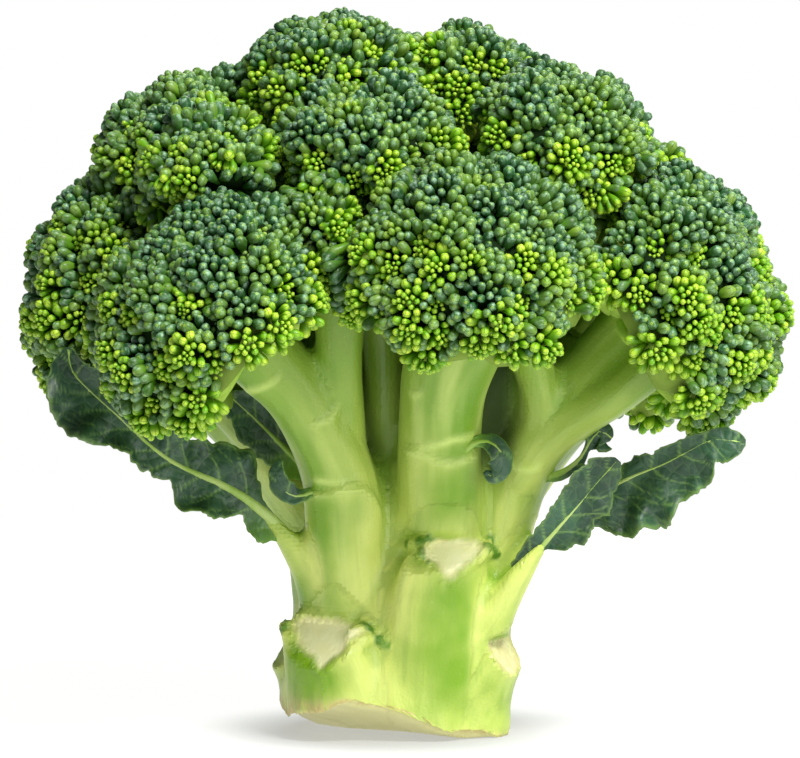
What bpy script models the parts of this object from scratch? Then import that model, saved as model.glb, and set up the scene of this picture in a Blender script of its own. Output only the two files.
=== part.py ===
"""A fresh head of broccoli, cut and standing on its stalk.

The stalk is one grown body: a short thick trunk that forks into a branch for each floret, with the
cut-off leaf stubs still on it. The florets are separate domes of buds that press on each other, so
each is a dome that stops at the plane midway to its neighbour. The leaves that were left on are thin
sheets thickened along the midrib.
"""

import math
from typing import NamedTuple

import bmesh
import bpy
from mathutils import Matrix, Vector

MM = 0.001

# Driving dimensions, in millimetres
STALK_RADIUS = 24.0
GAP = 0.3
LEAF_GAP = 0.45
FLORET_GAP = 0.4

# How sharply a dome turns from its round top to the flat where it meets a neighbour
PRESS_SHARPNESS = 9.0
DOME_SUBDIVISIONS = 3

# The stalk's skin: voxels that melt the limbs together, then thinned to plain facets
SKIN_VOXEL = 1.3
SKIN_SMOOTHING = 10
SKIN_KEEP = 0.04
LIMB_SIDES = 16
LIMB_STEPS = 5

FLORET_GREEN = (0.060, 0.150, 0.045)
STALK_GREEN = (0.420, 0.600, 0.120)
LEAF_GREEN = (0.035, 0.120, 0.055)


class Floret(NamedTuple):
    """A dome: its centre, the way its crown faces, and its radii across and along that way."""

    centre: tuple
    faces: tuple
    across: float
    deep: float


# The outer ring, low round the crown
RING_FLORETS = {
    "floret_front": Floret((15, -44, 97), (0.10, -0.62, 0.78), 29.0, 25.0),
    "floret_front_left": Floret((-36, -37, 89), (-0.55, -0.60, 0.58), 29.5, 23.0),
    "floret_left": Floret((-54, 4, 93), (-0.92, -0.10, 0.38), 30.0, 25.5),
    "floret_back_left": Floret((-38, 38, 90), (-0.60, 0.65, 0.45), 29.0, 25.0),
    "floret_back": Floret((5, 47, 91), (0.05, 0.75, 0.66), 29.0, 26.0),
    "floret_back_right": Floret((47, 29, 87), (0.70, 0.60, 0.38), 30.0, 26.0),
    "floret_right": Floret((55, -15, 92), (0.85, -0.40, 0.34), 31.0, 25.0),
}
# The upper florets, from the shoulder to the top
UPPER_FLORETS = {
    "floret_between": Floret((-13, -32, 100), (-0.10, -0.75, 0.65), 19.0, 18.5),
    "floret_upper_left_front": Floret((-36, -22, 115), (-0.30, -0.60, 0.75), 18.5, 16.5),
    "floret_upper_front": Floret((-5.5, -23, 118.5), (0.00, -0.60, 0.80), 23.0, 19.5),
    "floret_upper_right_front": Floret((33.5, -19, 120.5), (0.40, -0.50, 0.75), 23.0, 20.5),
    "floret_upper_left": Floret((-41, 4, 117), (-0.50, -0.05, 0.86), 25.0, 23.0),
    "floret_upper_right": Floret((42, 11, 112), (0.60, 0.20, 0.78), 23.5, 21.0),
    "floret_upper_back_left": Floret((-24, 29, 117), (-0.30, 0.50, 0.80), 24.5, 21.0),
    "floret_upper_back": Floret((15, 33, 117), (0.15, 0.60, 0.75), 23.5, 20.5),
    "floret_top": Floret((-13, 1, 129), (-0.10, -0.10, 1.00), 25.0, 23.0),
    "floret_top_right": Floret((14, 8, 129), (0.20, 0.10, 1.00), 22.0, 21.0),
}
FLORETS = {**RING_FLORETS, **UPPER_FLORETS}
# How far below its centre a dome's underside lies, as a share of its depth
UNDERSIDE = 0.42


class Station(NamedTuple):
    """A point on a limb's centre line with the limb's half width and half depth there."""

    x: float
    y: float
    z: float
    half_width: float
    half_depth: float


def round_limb(*points):
    """Stations of a limb with a round section, from (x, y, z, radius) points."""
    return [Station(x, y, z, radius, radius) for x, y, z, radius in points]


TRUNK = [
    Station(-1.0, 0.5, -8, STALK_RADIUS, STALK_RADIUS - 1.0),
    Station(-1.0, 0.5, 8, STALK_RADIUS - 0.5, STALK_RADIUS - 1.5),
    Station(0.0, 0.5, 22, STALK_RADIUS - 2.0, STALK_RADIUS - 3.0),
    Station(1.0, 0.5, 38, STALK_RADIUS - 4.0, STALK_RADIUS - 5.0),
    Station(1.0, 1.0, 56, 15.0, 15.0),
    Station(0.0, 2.0, 76, 11.0, 11.0),
]

# One branch for each floret. Its last point lies inside the dome, which then trims it
BRANCHES = {
    "floret_front": round_limb(
        (8, -8, 18, 9.5), (9, -11, 40, 9.4), (9, -17, 58, 8.8), (9.8, -26, 74, 9), (13.5, -38, 90, 11)
    ),
    "floret_front_left": round_limb(
        (-9, -8, 20, 9), (-10.5, -14, 42, 8.5), (-12, -17, 56, 7.8), (-20, -24, 72, 8.5), (-33, -32, 86, 10)
    ),
    "floret_between": round_limb(
        (-11, -14, 52, 6), (-12.5, -20, 68, 5), (-14, -27, 82, 5.2), (-13, -31, 94, 6),
    ),
    "floret_left": round_limb(
        (-12, 2, 22, 9), (-18, 3, 42, 6.5), (-25, 4, 54, 6), (-36, 5, 67, 6.5), (-50, 5, 82, 9)
    ),
    "floret_right": round_limb(
        (15, -4, 22, 9), (21, -6, 42, 7.5), (26, -8, 57, 7.5), (38, -11, 72, 8), (52, -14, 86, 9)
    ),
    "floret_back_right": round_limb(
        (13, 8, 24, 9), (19, 12, 42, 7.5), (25, 17, 56, 7), (34, 23, 68, 7), (44, 29, 80, 9)
    ),
    "floret_back": round_limb(
        (2, 12, 24, 10), (3, 18, 44, 8.5), (4, 24, 58, 8), (5, 33, 72, 8.5), (5, 43, 86, 10)
    ),
    "floret_back_left": round_limb(
        (-10, 10, 24, 9), (-14, 15, 42, 7.5), (-19, 21, 56, 7), (-27, 28, 70, 7.5), (-36, 35, 84, 9)
    ),
    "floret_upper_front": round_limb(
        (0, -5, 40, 5), (-1.5, -9, 62, 4.6), (-3, -14, 84, 5), (-4, -20, 107, 7),
    ),
    "floret_upper_right_front": round_limb(
        (10, -5, 56, 7), (18, -9, 74, 6.5), (26, -13, 92, 6.5), (33, -17, 112, 8)
    ),
    "floret_upper_left_front": round_limb(
        (-9, -6, 62, 6), (-18, -11, 80, 5.5), (-29, -17, 97, 5.5), (-35, -21, 110, 6),
    ),
    "floret_upper_left": round_limb((-9, 2, 60, 7), (-19, 3, 78, 6.5), (-33, 4, 96, 6.5), (-43, 5, 111, 8)),
    "floret_upper_right": round_limb((9, 4, 56, 8), (20, 7, 75, 7.5), (30, 11, 92, 7), (38, 13, 109, 8)),
    "floret_upper_back_left": round_limb(
        (-5, 8, 60, 7), (-11, 14, 80, 6.5), (-18, 21, 97, 6.5), (-23, 27, 112, 8),
    ),
    "floret_upper_back": round_limb((4, 8, 60, 7), (8, 16, 80, 6.5), (12, 25, 98, 6.5), (14, 32, 113, 8)),
    "floret_top": round_limb((-2, 1, 62, 9), (-5, 1, 86, 8), (-10, 1, 106, 8), (-13, 1, 122, 9)),
    "floret_top_right": round_limb((4, 3, 66, 8), (8, 5, 88, 7), (13, 7, 108, 7), (16, 9, 122, 8)),
}
# Second, thinner arms that some branches throw out to carry the edge of their floret
ARMS = {
    "right": round_limb((24, -8, 50, 5.5), (33, -13, 63, 4.6), (45, -19, 72, 4.5), (56, -22, 82, 5)),
    "back_right": round_limb((22, 6, 44, 5.5), (32, 8, 58, 4.8), (43, 10, 70, 4.8), (55, 12, 82, 5.5)),
    "left": round_limb((-18, 1, 44, 5), (-29, -2, 61, 4.5), (-39, -9, 73, 4.5), (-46, -18, 84, 5)),
    "front": round_limb((24, -8, 54, 6), (29.5, -12, 66, 4.8), (28.5, -19, 77, 4.4), (25, -28, 88, 6)),
    "back": round_limb((2, 18, 48, 5.5), (-6, 27, 62, 4.8), (-13, 36, 76, 5), (-14, 42, 86, 5)),
    "back_middle": round_limb((12, 17, 48, 5.5), (18, 27, 63, 4.8), (23, 36, 77, 5), (22, 42, 86, 5)),
}


class Stub(NamedTuple):
    """The foot of a leaf that was cut off: a strap up the trunk, and the plane of the knife cut."""

    strap: list
    cut_at: tuple
    cut_faces: tuple


STUBS = {
    "stub_front_left": Stub(
        [
            Station(-11, -11, -6, 11, 10),
            Station(-12, -13, 8, 11, 10.5),
            Station(-14.5, -17, 18, 10.2, 7.0),
            Station(-16.5, -20.5, 24.5, 9.5, 5.0),
        ],
        (-15.6, -20.4, 20.3),
        (-0.48, -0.72, 0.50),
    ),
    "stub_front": Stub(
        [
            Station(7.5, -11, 10, 13, 9),
            Station(8.5, -14.5, 24, 12, 8),
            Station(9.6, -18.5, 35, 10.5, 5),
            Station(10.4, -21.5, 41, 9.5, 4),
        ],
        (10.0, -22.8, 37.6),
        (0.12, -0.76, 0.64),
    ),
    "stub_right": Stub(
        [
            Station(14, -6, -6, 9, 9),
            Station(15.5, -7, 6, 9, 9),
            Station(20, -10, 14, 7, 5.5),
            Station(24, -12, 19.5, 6, 4),
        ],
        (24.0, -11.6, 15.5),
        (0.80, -0.40, 0.45),
    ),
    "stub_left": Stub(
        [
            Station(-15, 2, -6, 9, 9),
            Station(-17, 2, 6, 9, 8),
            Station(-21, 3, 13, 7, 5.5),
            Station(-25, 3, 18, 6, 4),
        ],
        (-25.0, 2.4, 14.0),
        (-0.84, -0.10, 0.54),
    ),
    "stub_back": Stub(
        [
            Station(0, 13, 0, 11, 9),
            Station(-1, 15, 14, 10, 8),
            Station(-2, 20, 26, 8.5, 5.5),
            Station(-2.5, 24, 33, 7.5, 4),
        ],
        (-2.0, 23.8, 28.5),
        (-0.05, 0.76, 0.65),
    ),
}

# The feet that the two big leaves grow from, running up the sides of the trunk
LEAF_FEET = [
    [Station(-11, -6, 6, 8, 8), Station(-13.5, -9, 22, 6.5, 6.5), Station(-16.5, -12, 32, 4.2, 3.6)],
    [Station(13, -7, 6, 8, 8), Station(17, -11, 20, 6, 6), Station(21, -14.5, 27, 4, 3.5)],
    [Station(13, 2, 10, 8, 8), Station(18, -4, 22, 5.5, 5.5), Station(21, -9, 31, 3.6, 3.0)],
]

# How wide, high and thick the blocks are that cut a leaf's stub and the foot
STUB_KNIFE = (28.0, 14.0, 12.0)
FOOT_KNIFE = (90.0, 90.0, 30.0)

# The knife took the foot off a little askew, so the front left of it lifts off the table
FOOT_CUT_AT = (-5.0, -5.2, 0.0)
FOOT_CUT_FACES = (-0.30, -0.30, -0.906)


class Leaf(NamedTuple):
    """A leaf's midrib from foot to tip, the way its blade faces, its stalk's half width and its blade's."""

    midrib: list
    faces: tuple
    stalk_half_width: float
    blade_half_width: float
    blade_from: float
    cup: float


LEAVES = {
    "leaf_left": Leaf(
        [
            (-16, -12, 33),
            (-19.5, -14.5, 38),
            (-23.5, -16.5, 43.5),
            (-29, -18, 49),
            (-36, -19, 53.5),
            (-46, -19.5, 59.5),
            (-57, -20, 67.5),
            (-67, -20.5, 79),
        ],
        (-0.35, -0.80, 0.50), 2.6, 7.2, 0.36, 0.16,
    ),
    "leaf_right": Leaf(
        [(21, -9, 31.5), (28, -12, 38), (36, -14, 44.5), (46, -17.5, 50), (58, -22, 54.5), (71, -25, 59)],
        (0.20, -0.93, 0.25), 2.2, 7.8, 0.42, 0.14,
    ),
    "leaf_right_small": Leaf(
        [
            (22, -15, 30), (26.5, -18, 36), (31.5, -20.5, 42.5),
            (37, -22, 49), (41.5, -22.5, 54.5), (44, -23, 59),
        ],
        (0.30, -0.90, 0.30), 2.6, 5.6, 0.42, 0.20,
    ),
    "bract_right": Leaf(
        [(28, -10, 53), (33, -13.5, 54), (38, -14.5, 57), (41, -14.5, 61), (44, -14, 62.5)],
        (0.50, -0.75, 0.40), 1.6, 3.3, 0.30, 0.30,
    ),
    "curl_front": Leaf(
        [(13.5, -25, 62), (16.3, -26, 64.5), (18.8, -26.3, 63), (18.6, -26.3, 59.8), (16.2, -26, 58.5)],
        (0.75, -0.50, 0.40), 1.1, 2.1, 0.20, 0.10,
    ),
    "curl_left": Leaf(
        [
            (-16.5, -18.5, 52.5), (-20, -20.5, 52), (-22.6, -21, 54.5),
            (-22.6, -21, 57.5), (-20.8, -20.8, 58.5),
        ],
        (-0.60, -0.60, 0.50), 1.1, 2.1, 0.20, 0.10,
    ),
    "leaf_inner_left": Leaf(
        [(-17, -5, 54), (-23, -8, 60), (-29, -9.5, 66), (-34, -10, 71)],
        (-0.45, -0.80, 0.35), 1.5, 5.2, 0.15, 0.25,
    ),
}
LEAF_THICKNESS = 0.9
RIB_THICKNESS = 2.6
LEAF_STEPS = 2
LEAF_ACROSS = 2


def clear_scene():
    for found in list(bpy.data.objects):
        bpy.data.objects.remove(found)


def paint(name, colour, roughness):
    """A plain material with the colour and shine of one of the plant's skins."""
    material = bpy.data.materials.new(name)
    material.use_nodes = True
    shader = material.node_tree.nodes["Principled BSDF"]
    shader.inputs["Base Color"].default_value = (*colour, 1.0)
    shader.inputs["Roughness"].default_value = roughness
    shader.inputs["Metallic"].default_value = 0.0
    return material


def add_object(name, shape, material):
    """Makes an object from a bmesh that is drawn in millimetres, facing outwards."""
    bmesh.ops.recalc_face_normals(shape, faces=shape.faces)
    bmesh.ops.scale(shape, vec=(MM, MM, MM), verts=shape.verts)
    mesh = bpy.data.meshes.new(name)
    shape.to_mesh(mesh)
    shape.free()
    mesh.shade_smooth()
    made = bpy.data.objects.new(name, mesh)
    made.data.materials.append(material)
    bpy.context.scene.collection.objects.link(made)
    return made


def make_cutter(cutter):
    cutter.hide_render = True
    cutter.display_type = "WIRE"
    return cutter


def cut(target, name, cutters):
    """Takes the shapes of all these cutters out of the target."""
    group = bpy.data.collections.new(name)
    for cutter in cutters:
        group.objects.link(cutter)
    boolean = target.modifiers.new(name, "BOOLEAN")
    boolean.operation = "DIFFERENCE"
    boolean.solver = "EXACT"
    boolean.operand_type = "COLLECTION"
    boolean.collection = group


def on_curve(points, steps):
    """Tuples along a smooth curve through the given tuples, with this many steps between each pair."""
    padded = [points[0], *points, points[-1]]
    found = []
    for before, start, end, after in zip(padded, padded[1:], padded[2:], padded[3:]):
        for step in range(steps):
            t = step / steps
            weights = (
                -0.5 * t + t**2 - 0.5 * t**3,
                1 - 2.5 * t**2 + 1.5 * t**3,
                0.5 * t + 2 * t**2 - 1.5 * t**3,
                -0.5 * t**2 + 0.5 * t**3,
            )
            fours = zip(before, start, end, after)
            found.append([sum(w * v for w, v in zip(weights, four)) for four in fours])
    found.append(list(points[-1]))
    return found


def directions(line):
    """The way a line of points runs at each of them."""
    ends = [line[0], *line, line[-1]]
    return [(after - before).normalized() for before, after in zip(ends, ends[2:])]


def skin_rings(shape, rings):
    """Faces round a row of rings, closed at both ends."""
    rows = [[shape.verts.new(point) for point in ring] for ring in rings]
    for low, high in zip(rows, rows[1:]):
        for side, corner in enumerate(low):
            after = (side + 1) % len(low)
            shape.faces.new((corner, low[after], high[after], high[side]))
    shape.faces.new(rows[0])
    shape.faces.new(rows[-1])


def add_limb(shape, stations):
    """A limb with an oval section, its width across the way out from the stalk's axis."""
    drawn = [Station(*values) for values in on_curve(stations, LIMB_STEPS)]
    line = [Vector((s.x, s.y, s.z)) for s in drawn]
    outwards = Vector((line[-1].x, line[-1].y, 0.0)) + Vector((0.0, -0.01, 0.0))
    rings = []
    for station, point, along in zip(drawn, line, directions(line)):
        wide = along.cross(outwards).normalized()
        deep = wide.cross(along)
        turns = [math.tau * side / LIMB_SIDES for side in range(LIMB_SIDES)]
        rings.append(
            [
                point
                + wide * math.cos(turn) * station.half_width
                + deep * math.sin(turn) * station.half_depth
                for turn in turns
            ]
        )
    skin_rings(shape, rings)


def add_slab(name, at, faces, size, material):
    """A block on the outer side of a plane, this wide, high and thick, to cut away what stands past it."""
    shape = bmesh.new()
    bmesh.ops.create_cube(shape, size=1.0)
    turn = Vector(faces).to_track_quat("Z", "Y").to_matrix().to_4x4()
    stretch = Matrix.Diagonal((*size, 1)) @ Matrix.Translation((0, 0, 0.5))
    place = Matrix.Translation(Vector(at)) @ turn @ stretch
    bmesh.ops.transform(shape, matrix=place, verts=shape.verts)
    return make_cutter(add_object(name, shape, material))


def dome_reach(floret, way, growth):
    """How far a floret's skin is from its centre along a direction, held back by all its neighbours."""
    faces = Vector(floret.faces).normalized()
    along = way.dot(faces)
    sideways = math.sqrt(max(0.0, 1.0 - along**2))
    pulls = [math.hypot(sideways / floret.across, along / floret.deep)]
    pulls.append(max(0.0, -along) / (floret.deep * UNDERSIDE))
    for other in FLORETS.values():
        apart = Vector(other.centre) - Vector(floret.centre)
        distance = apart.length
        if distance == 0.0:
            continue
        share = (distance**2 + floret.across**2 - other.across**2) / (2 * distance)
        pulls.append(max(0.0, way.dot(apart.normalized())) / (share - FLORET_GAP / 2))
    return 1 / sum(pull**PRESS_SHARPNESS for pull in pulls) ** (1 / PRESS_SHARPNESS) + growth


def add_floret(name, floret, growth, material):
    shape = bmesh.new()
    bmesh.ops.create_icosphere(shape, subdivisions=DOME_SUBDIVISIONS, radius=1.0)
    for corner in shape.verts:
        way = corner.co.normalized()
        corner.co = Vector(floret.centre) + way * dome_reach(floret, way, growth)
    return add_object(name, shape, material)


def leaf_section(leaf, share, growth):
    """The half width and the rib's thickness at this share of the way from a leaf's foot to its tip."""
    if share < leaf.blade_from:
        half_width = leaf.stalk_half_width
    else:
        along_blade = (share - leaf.blade_from) / (1 - leaf.blade_from)
        swell = math.sin(math.pi * (0.12 + 0.85 * along_blade)) ** 0.7
        half_width = leaf.stalk_half_width + (leaf.blade_half_width - leaf.stalk_half_width) * swell
    rib = LEAF_THICKNESS + (min(RIB_THICKNESS, 1.4 * leaf.stalk_half_width)) * (1 - share)
    return half_width + growth, rib + 2 * growth


def add_leaf(name, leaf, growth, material):
    """A leaf as one closed sheet: a face of points across the top, and one below with the rib on it."""
    line = [Vector(point) for point in on_curve(leaf.midrib, LEAF_STEPS)]
    ways = directions(line)
    rings = []
    for index, (point, along) in enumerate(zip(line, ways)):
        share = index / (len(line) - 1)
        half_width, rib = leaf_section(leaf, share, growth)
        wide = along.cross(Vector(leaf.faces)).normalized()
        up = wide.cross(along)
        top, under = [], []
        for step in range(-LEAF_ACROSS, LEAF_ACROSS + 1):
            side = step / LEAF_ACROSS
            middle = point + wide * side * half_width + up * leaf.cup * half_width * side**2
            edge = LEAF_THICKNESS + 2 * growth
            thickness = edge + (rib - edge) * (1 - abs(side)) ** 2
            top.append(middle + up * edge / 2)
            under.append(middle + up * (edge / 2 - thickness))
        rings.append(top + under[::-1])
    if growth:
        rings[0] = [point - ways[0] * growth for point in rings[0]]
        rings[-1] = [point + ways[-1] * growth for point in rings[-1]]
    shape = bmesh.new()
    skin_rings(shape, rings)
    return add_object(name, shape, material)


def melt_limbs(stalk):
    """Turns the overlapping limbs into one skin with soft crotches, then thins its facets."""
    skin = stalk.modifiers.new("melt", "REMESH")
    skin.mode = "VOXEL"
    skin.voxel_size = SKIN_VOXEL * MM
    relax = stalk.modifiers.new("relax", "SMOOTH")
    relax.factor = 0.5
    relax.iterations = SKIN_SMOOTHING
    thin = stalk.modifiers.new("thin", "DECIMATE")
    thin.ratio = SKIN_KEEP


def add_stalk(material):
    shape = bmesh.new()
    straps = [stub.strap for stub in STUBS.values()]
    limbs = [TRUNK, *LEAF_FEET, *BRANCHES.values(), *ARMS.values(), *straps]
    for stations in limbs:
        add_limb(shape, stations)
    stalk = add_object("stalk", shape, material)
    melt_limbs(stalk)
    knives = [
        add_slab(f"{name}_knife", stub.cut_at, stub.cut_faces, STUB_KNIFE, material)
        for name, stub in STUBS.items()
    ]
    knives.append(add_slab("foot_knife", (0, 0, 0), (0, 0, -1), FOOT_KNIFE, material))
    knives.append(add_slab("foot_facet_knife", FOOT_CUT_AT, FOOT_CUT_FACES, FOOT_KNIFE, material))
    cut(stalk, "knives", knives)
    rooms = [
        make_cutter(add_floret(f"{name}_room", floret, GAP, material))
        for name, floret in FLORETS.items()
    ]
    rooms += [
        make_cutter(add_leaf(f"{name}_room", leaf, LEAF_GAP, material))
        for name, leaf in LEAVES.items()
    ]
    cut(stalk, "rooms", rooms)
    return stalk


def main():
    clear_scene()
    bud_skin = paint("buds", FLORET_GREEN, 0.55)
    stalk_skin = paint("stalk_skin", STALK_GREEN, 0.40)
    leaf_skin = paint("leaf", LEAF_GREEN, 0.50)
    add_stalk(stalk_skin)
    for name, floret in FLORETS.items():
        add_floret(name, floret, 0.0, bud_skin)
    for name, leaf in LEAVES.items():
        add_leaf(name, leaf, 0.0, leaf_skin)


main()
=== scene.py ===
"""A fresh head of broccoli standing on its cut stalk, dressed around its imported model.

The file goes up the plant as it grew: the stalk with its cut leaf feet, the twigs and buds of every
floret, the leaves that were left on, and last the table it stands on, the light and the camera.
Lengths are in millimetres until a mesh is finished, and metres from there.
"""

import math

import bmesh
import bpy
import numpy as np
from mathutils import Matrix, Vector, noise
from mathutils.bvhtree import BVHTree
from mathutils.kdtree import KDTree


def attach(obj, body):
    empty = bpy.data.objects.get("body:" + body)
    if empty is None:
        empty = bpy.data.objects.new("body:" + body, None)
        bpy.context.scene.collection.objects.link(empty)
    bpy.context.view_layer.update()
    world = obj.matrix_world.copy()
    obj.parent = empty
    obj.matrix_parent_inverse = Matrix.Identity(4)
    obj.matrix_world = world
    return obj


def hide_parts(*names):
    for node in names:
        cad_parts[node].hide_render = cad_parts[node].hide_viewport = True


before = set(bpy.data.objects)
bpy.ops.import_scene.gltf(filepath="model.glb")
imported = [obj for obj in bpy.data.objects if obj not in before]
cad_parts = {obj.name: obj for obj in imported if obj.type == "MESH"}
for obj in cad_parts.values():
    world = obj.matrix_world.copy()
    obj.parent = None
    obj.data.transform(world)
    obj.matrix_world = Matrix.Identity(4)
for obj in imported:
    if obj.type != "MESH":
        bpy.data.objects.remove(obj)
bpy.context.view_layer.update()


# ---------------------------------------------------------------------------------------------------
# Stalk. One grown body of crisp pale flesh under a thin waxy skin: a short trunk, a branch for each
# floret, and the straps of trimmed leaves, each with its pale scar. The foot was cut a little askew
# and has begun to dry and brown round its rim.
# ---------------------------------------------------------------------------------------------------

def unit(vectors):
    """The same vectors, each one long."""
    return vectors / np.maximum(np.linalg.norm(vectors, axis=-1, keepdims=True), 1e-9)


def smooth(low, high, values):
    """0 at low, 1 at high, and a soft slope between them. It falls where high is below low."""
    t = np.clip((values - low) / (high - low), 0.0, 1.0)
    return t * t * (3 - 2 * t)


def on_curve(points, steps):
    """Rows along a smooth curve through the given rows, with this many steps between each pair."""
    rows = np.array(points, float)
    padded = np.vstack([rows[:1], rows, rows[-1:]])
    t = (np.arange(steps) / steps)[:, None]
    weights = [
        -0.5 * t + t**2 - 0.5 * t**3,
        1 - 2.5 * t**2 + 1.5 * t**3,
        0.5 * t + 2 * t**2 - 1.5 * t**3,
        -0.5 * t**2 + 0.5 * t**3,
    ]
    runs = [sum(w * padded[first + k] for k, w in enumerate(weights)) for first in range(len(rows) - 1)]
    return np.vstack([*runs, rows[-1:]])


def directions(line):
    """The way a line of points runs at each of them."""
    ends = np.vstack([line[:1], line, line[-1:]])
    return unit(ends[2:] - ends[:-2])


def skin_rings(shape, rings):
    """Faces round a row of rings, closed at both ends."""
    rows = [[shape.verts.new(point) for point in ring] for ring in rings]
    for low, high in zip(rows, rows[1:]):
        for side, corner in enumerate(low):
            after = (side + 1) % len(low)
            shape.faces.new((corner, low[after], high[after], high[side]))
    shape.faces.new(rows[0][::-1])
    shape.faces.new(rows[-1])


# A way that none of the stems runs, to turn their rings from
OFF_ALL_STEMS = (0.31, -0.94, 0.12)


def add_tube(shape, points, radii, sides, steps):
    """A tapering stem through these points."""
    rows = on_curve(np.column_stack([points, radii]), steps)
    line, radius = rows[:, :3], rows[:, 3]
    rings = []
    for point, wide, along in zip(line, radius, directions(line)):
        across = unit(np.cross(along, OFF_ALL_STEMS))
        deep = np.cross(along, across)
        turns = np.arange(sides) * math.tau / sides
        ring = point + wide * (np.cos(turns)[:, None] * across + np.sin(turns)[:, None] * deep)
        rings.append(ring)
    skin_rings(shape, rings)


def add_piece(name, shape, material):
    """Turns a shape drawn in millimetres into an object in metres, facing outwards."""
    bmesh.ops.recalc_face_normals(shape, faces=shape.faces)
    bmesh.ops.scale(shape, vec=(0.001, 0.001, 0.001), verts=shape.verts)
    for face in shape.faces:
        face.smooth = True
    mesh = bpy.data.meshes.new(name)
    shape.to_mesh(mesh)
    shape.free()
    mesh.materials.append(material)
    piece = bpy.data.objects.new(name, mesh)
    bpy.context.scene.collection.objects.link(piece)
    return piece


def give(mesh, name, kind, values):
    """Stores one value for every point of a mesh under a name."""
    layer = mesh.attributes.get(name) or mesh.attributes.new(name, kind, "POINT")
    slot = "vector" if kind == "FLOAT_VECTOR" else "value"
    layer.data.foreach_set(slot, np.asarray(values, np.float32).ravel())


def points_of(mesh):
    """The places of a mesh's points, in millimetres."""
    places = np.zeros(len(mesh.vertices) * 3)
    mesh.vertices.foreach_get("co", places)
    return places.reshape(-1, 3) * 1000


def search_tree(places):
    """What finds the nearest of these places."""
    tree = KDTree(len(places))
    for index, place in enumerate(places):
        tree.insert(place, index)
    tree.balance()
    return tree


def settle(piece):
    """Puts every modifier into the mesh, so that a plain mesh is left."""
    seen = piece.evaluated_get(bpy.context.evaluated_depsgraph_get())
    mesh = bpy.data.meshes.new_from_object(seen)
    piece.modifiers.clear()
    old = piece.data
    piece.data = mesh
    mesh.name = piece.name
    bpy.data.meshes.remove(old)
    return piece


def dress(name, build):
    """A material whose nodes build(put) lays, where put(kind, inputs, settings) adds one node."""
    material = bpy.data.materials.new(name)
    material.use_nodes = True
    tree = material.node_tree
    shader = tree.nodes["Principled BSDF"]

    def put(kind, inputs=(), **settings):
        made = tree.nodes.new("ShaderNode" + kind)
        for key, value in settings.items():
            setattr(made, key, value)
        for key, value in dict(inputs).items():
            fill(made.inputs[key], value)
        return made

    def fill(socket, value):
        if isinstance(value, bpy.types.NodeSocket):
            tree.links.new(value, socket)
        else:
            socket.default_value = value

    for key, value in build(put).items():
        fill(shader.inputs[key], value)
    return material


def mixing(put):
    """What the skins are mixed with, each of them laid as nodes."""

    def maths(operation, first, second=0.0, clamp=False):
        return put("Math", {0: first, 1: second}, operation=operation, use_clamp=clamp).outputs[0]

    def blend(share, under, over):
        return put("Mix", {"Factor": share, 6: under, 7: over}, data_type="RGBA").outputs[2]

    def ramp(value, low, high):
        inputs = {"Value": value, "From Min": low, "From Max": high}
        return put("MapRange", inputs, interpolation_type="SMOOTHSTEP").outputs["Result"]

    def read(name, output="Fac"):
        return put("Attribute", attribute_name=name).outputs[output]

    def speckle(vector, scale, detail=3.0, stretch=None):
        if stretch:
            vector = put("Mapping", {"Vector": vector, "Scale": stretch}).outputs[0]
        return put("TexNoise", {"Vector": vector, "Scale": scale, "Detail": detail}).outputs["Fac"]

    return maths, blend, ramp, read, speckle


def plant_colour(red, green, blue):
    """A colour as linear light, from how it looks on a screen, 0 to 255."""
    return (*(((v / 255 + 0.055) / 1.055) ** 2.4 for v in (red, green, blue)), 1.0)


# Each limb as (x, y, z, half width, half depth) along its middle, or (x, y, z, radius) where round
TRUNK = [
    (-1, 0.5, -8, 24, 23), (-1, 0.5, 8, 23.5, 22.5), (0, 0.5, 22, 22, 21),
    (1, 0.5, 38, 20, 19), (1, 1, 56, 15, 15), (0, 2, 76, 11, 11),
]
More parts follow.
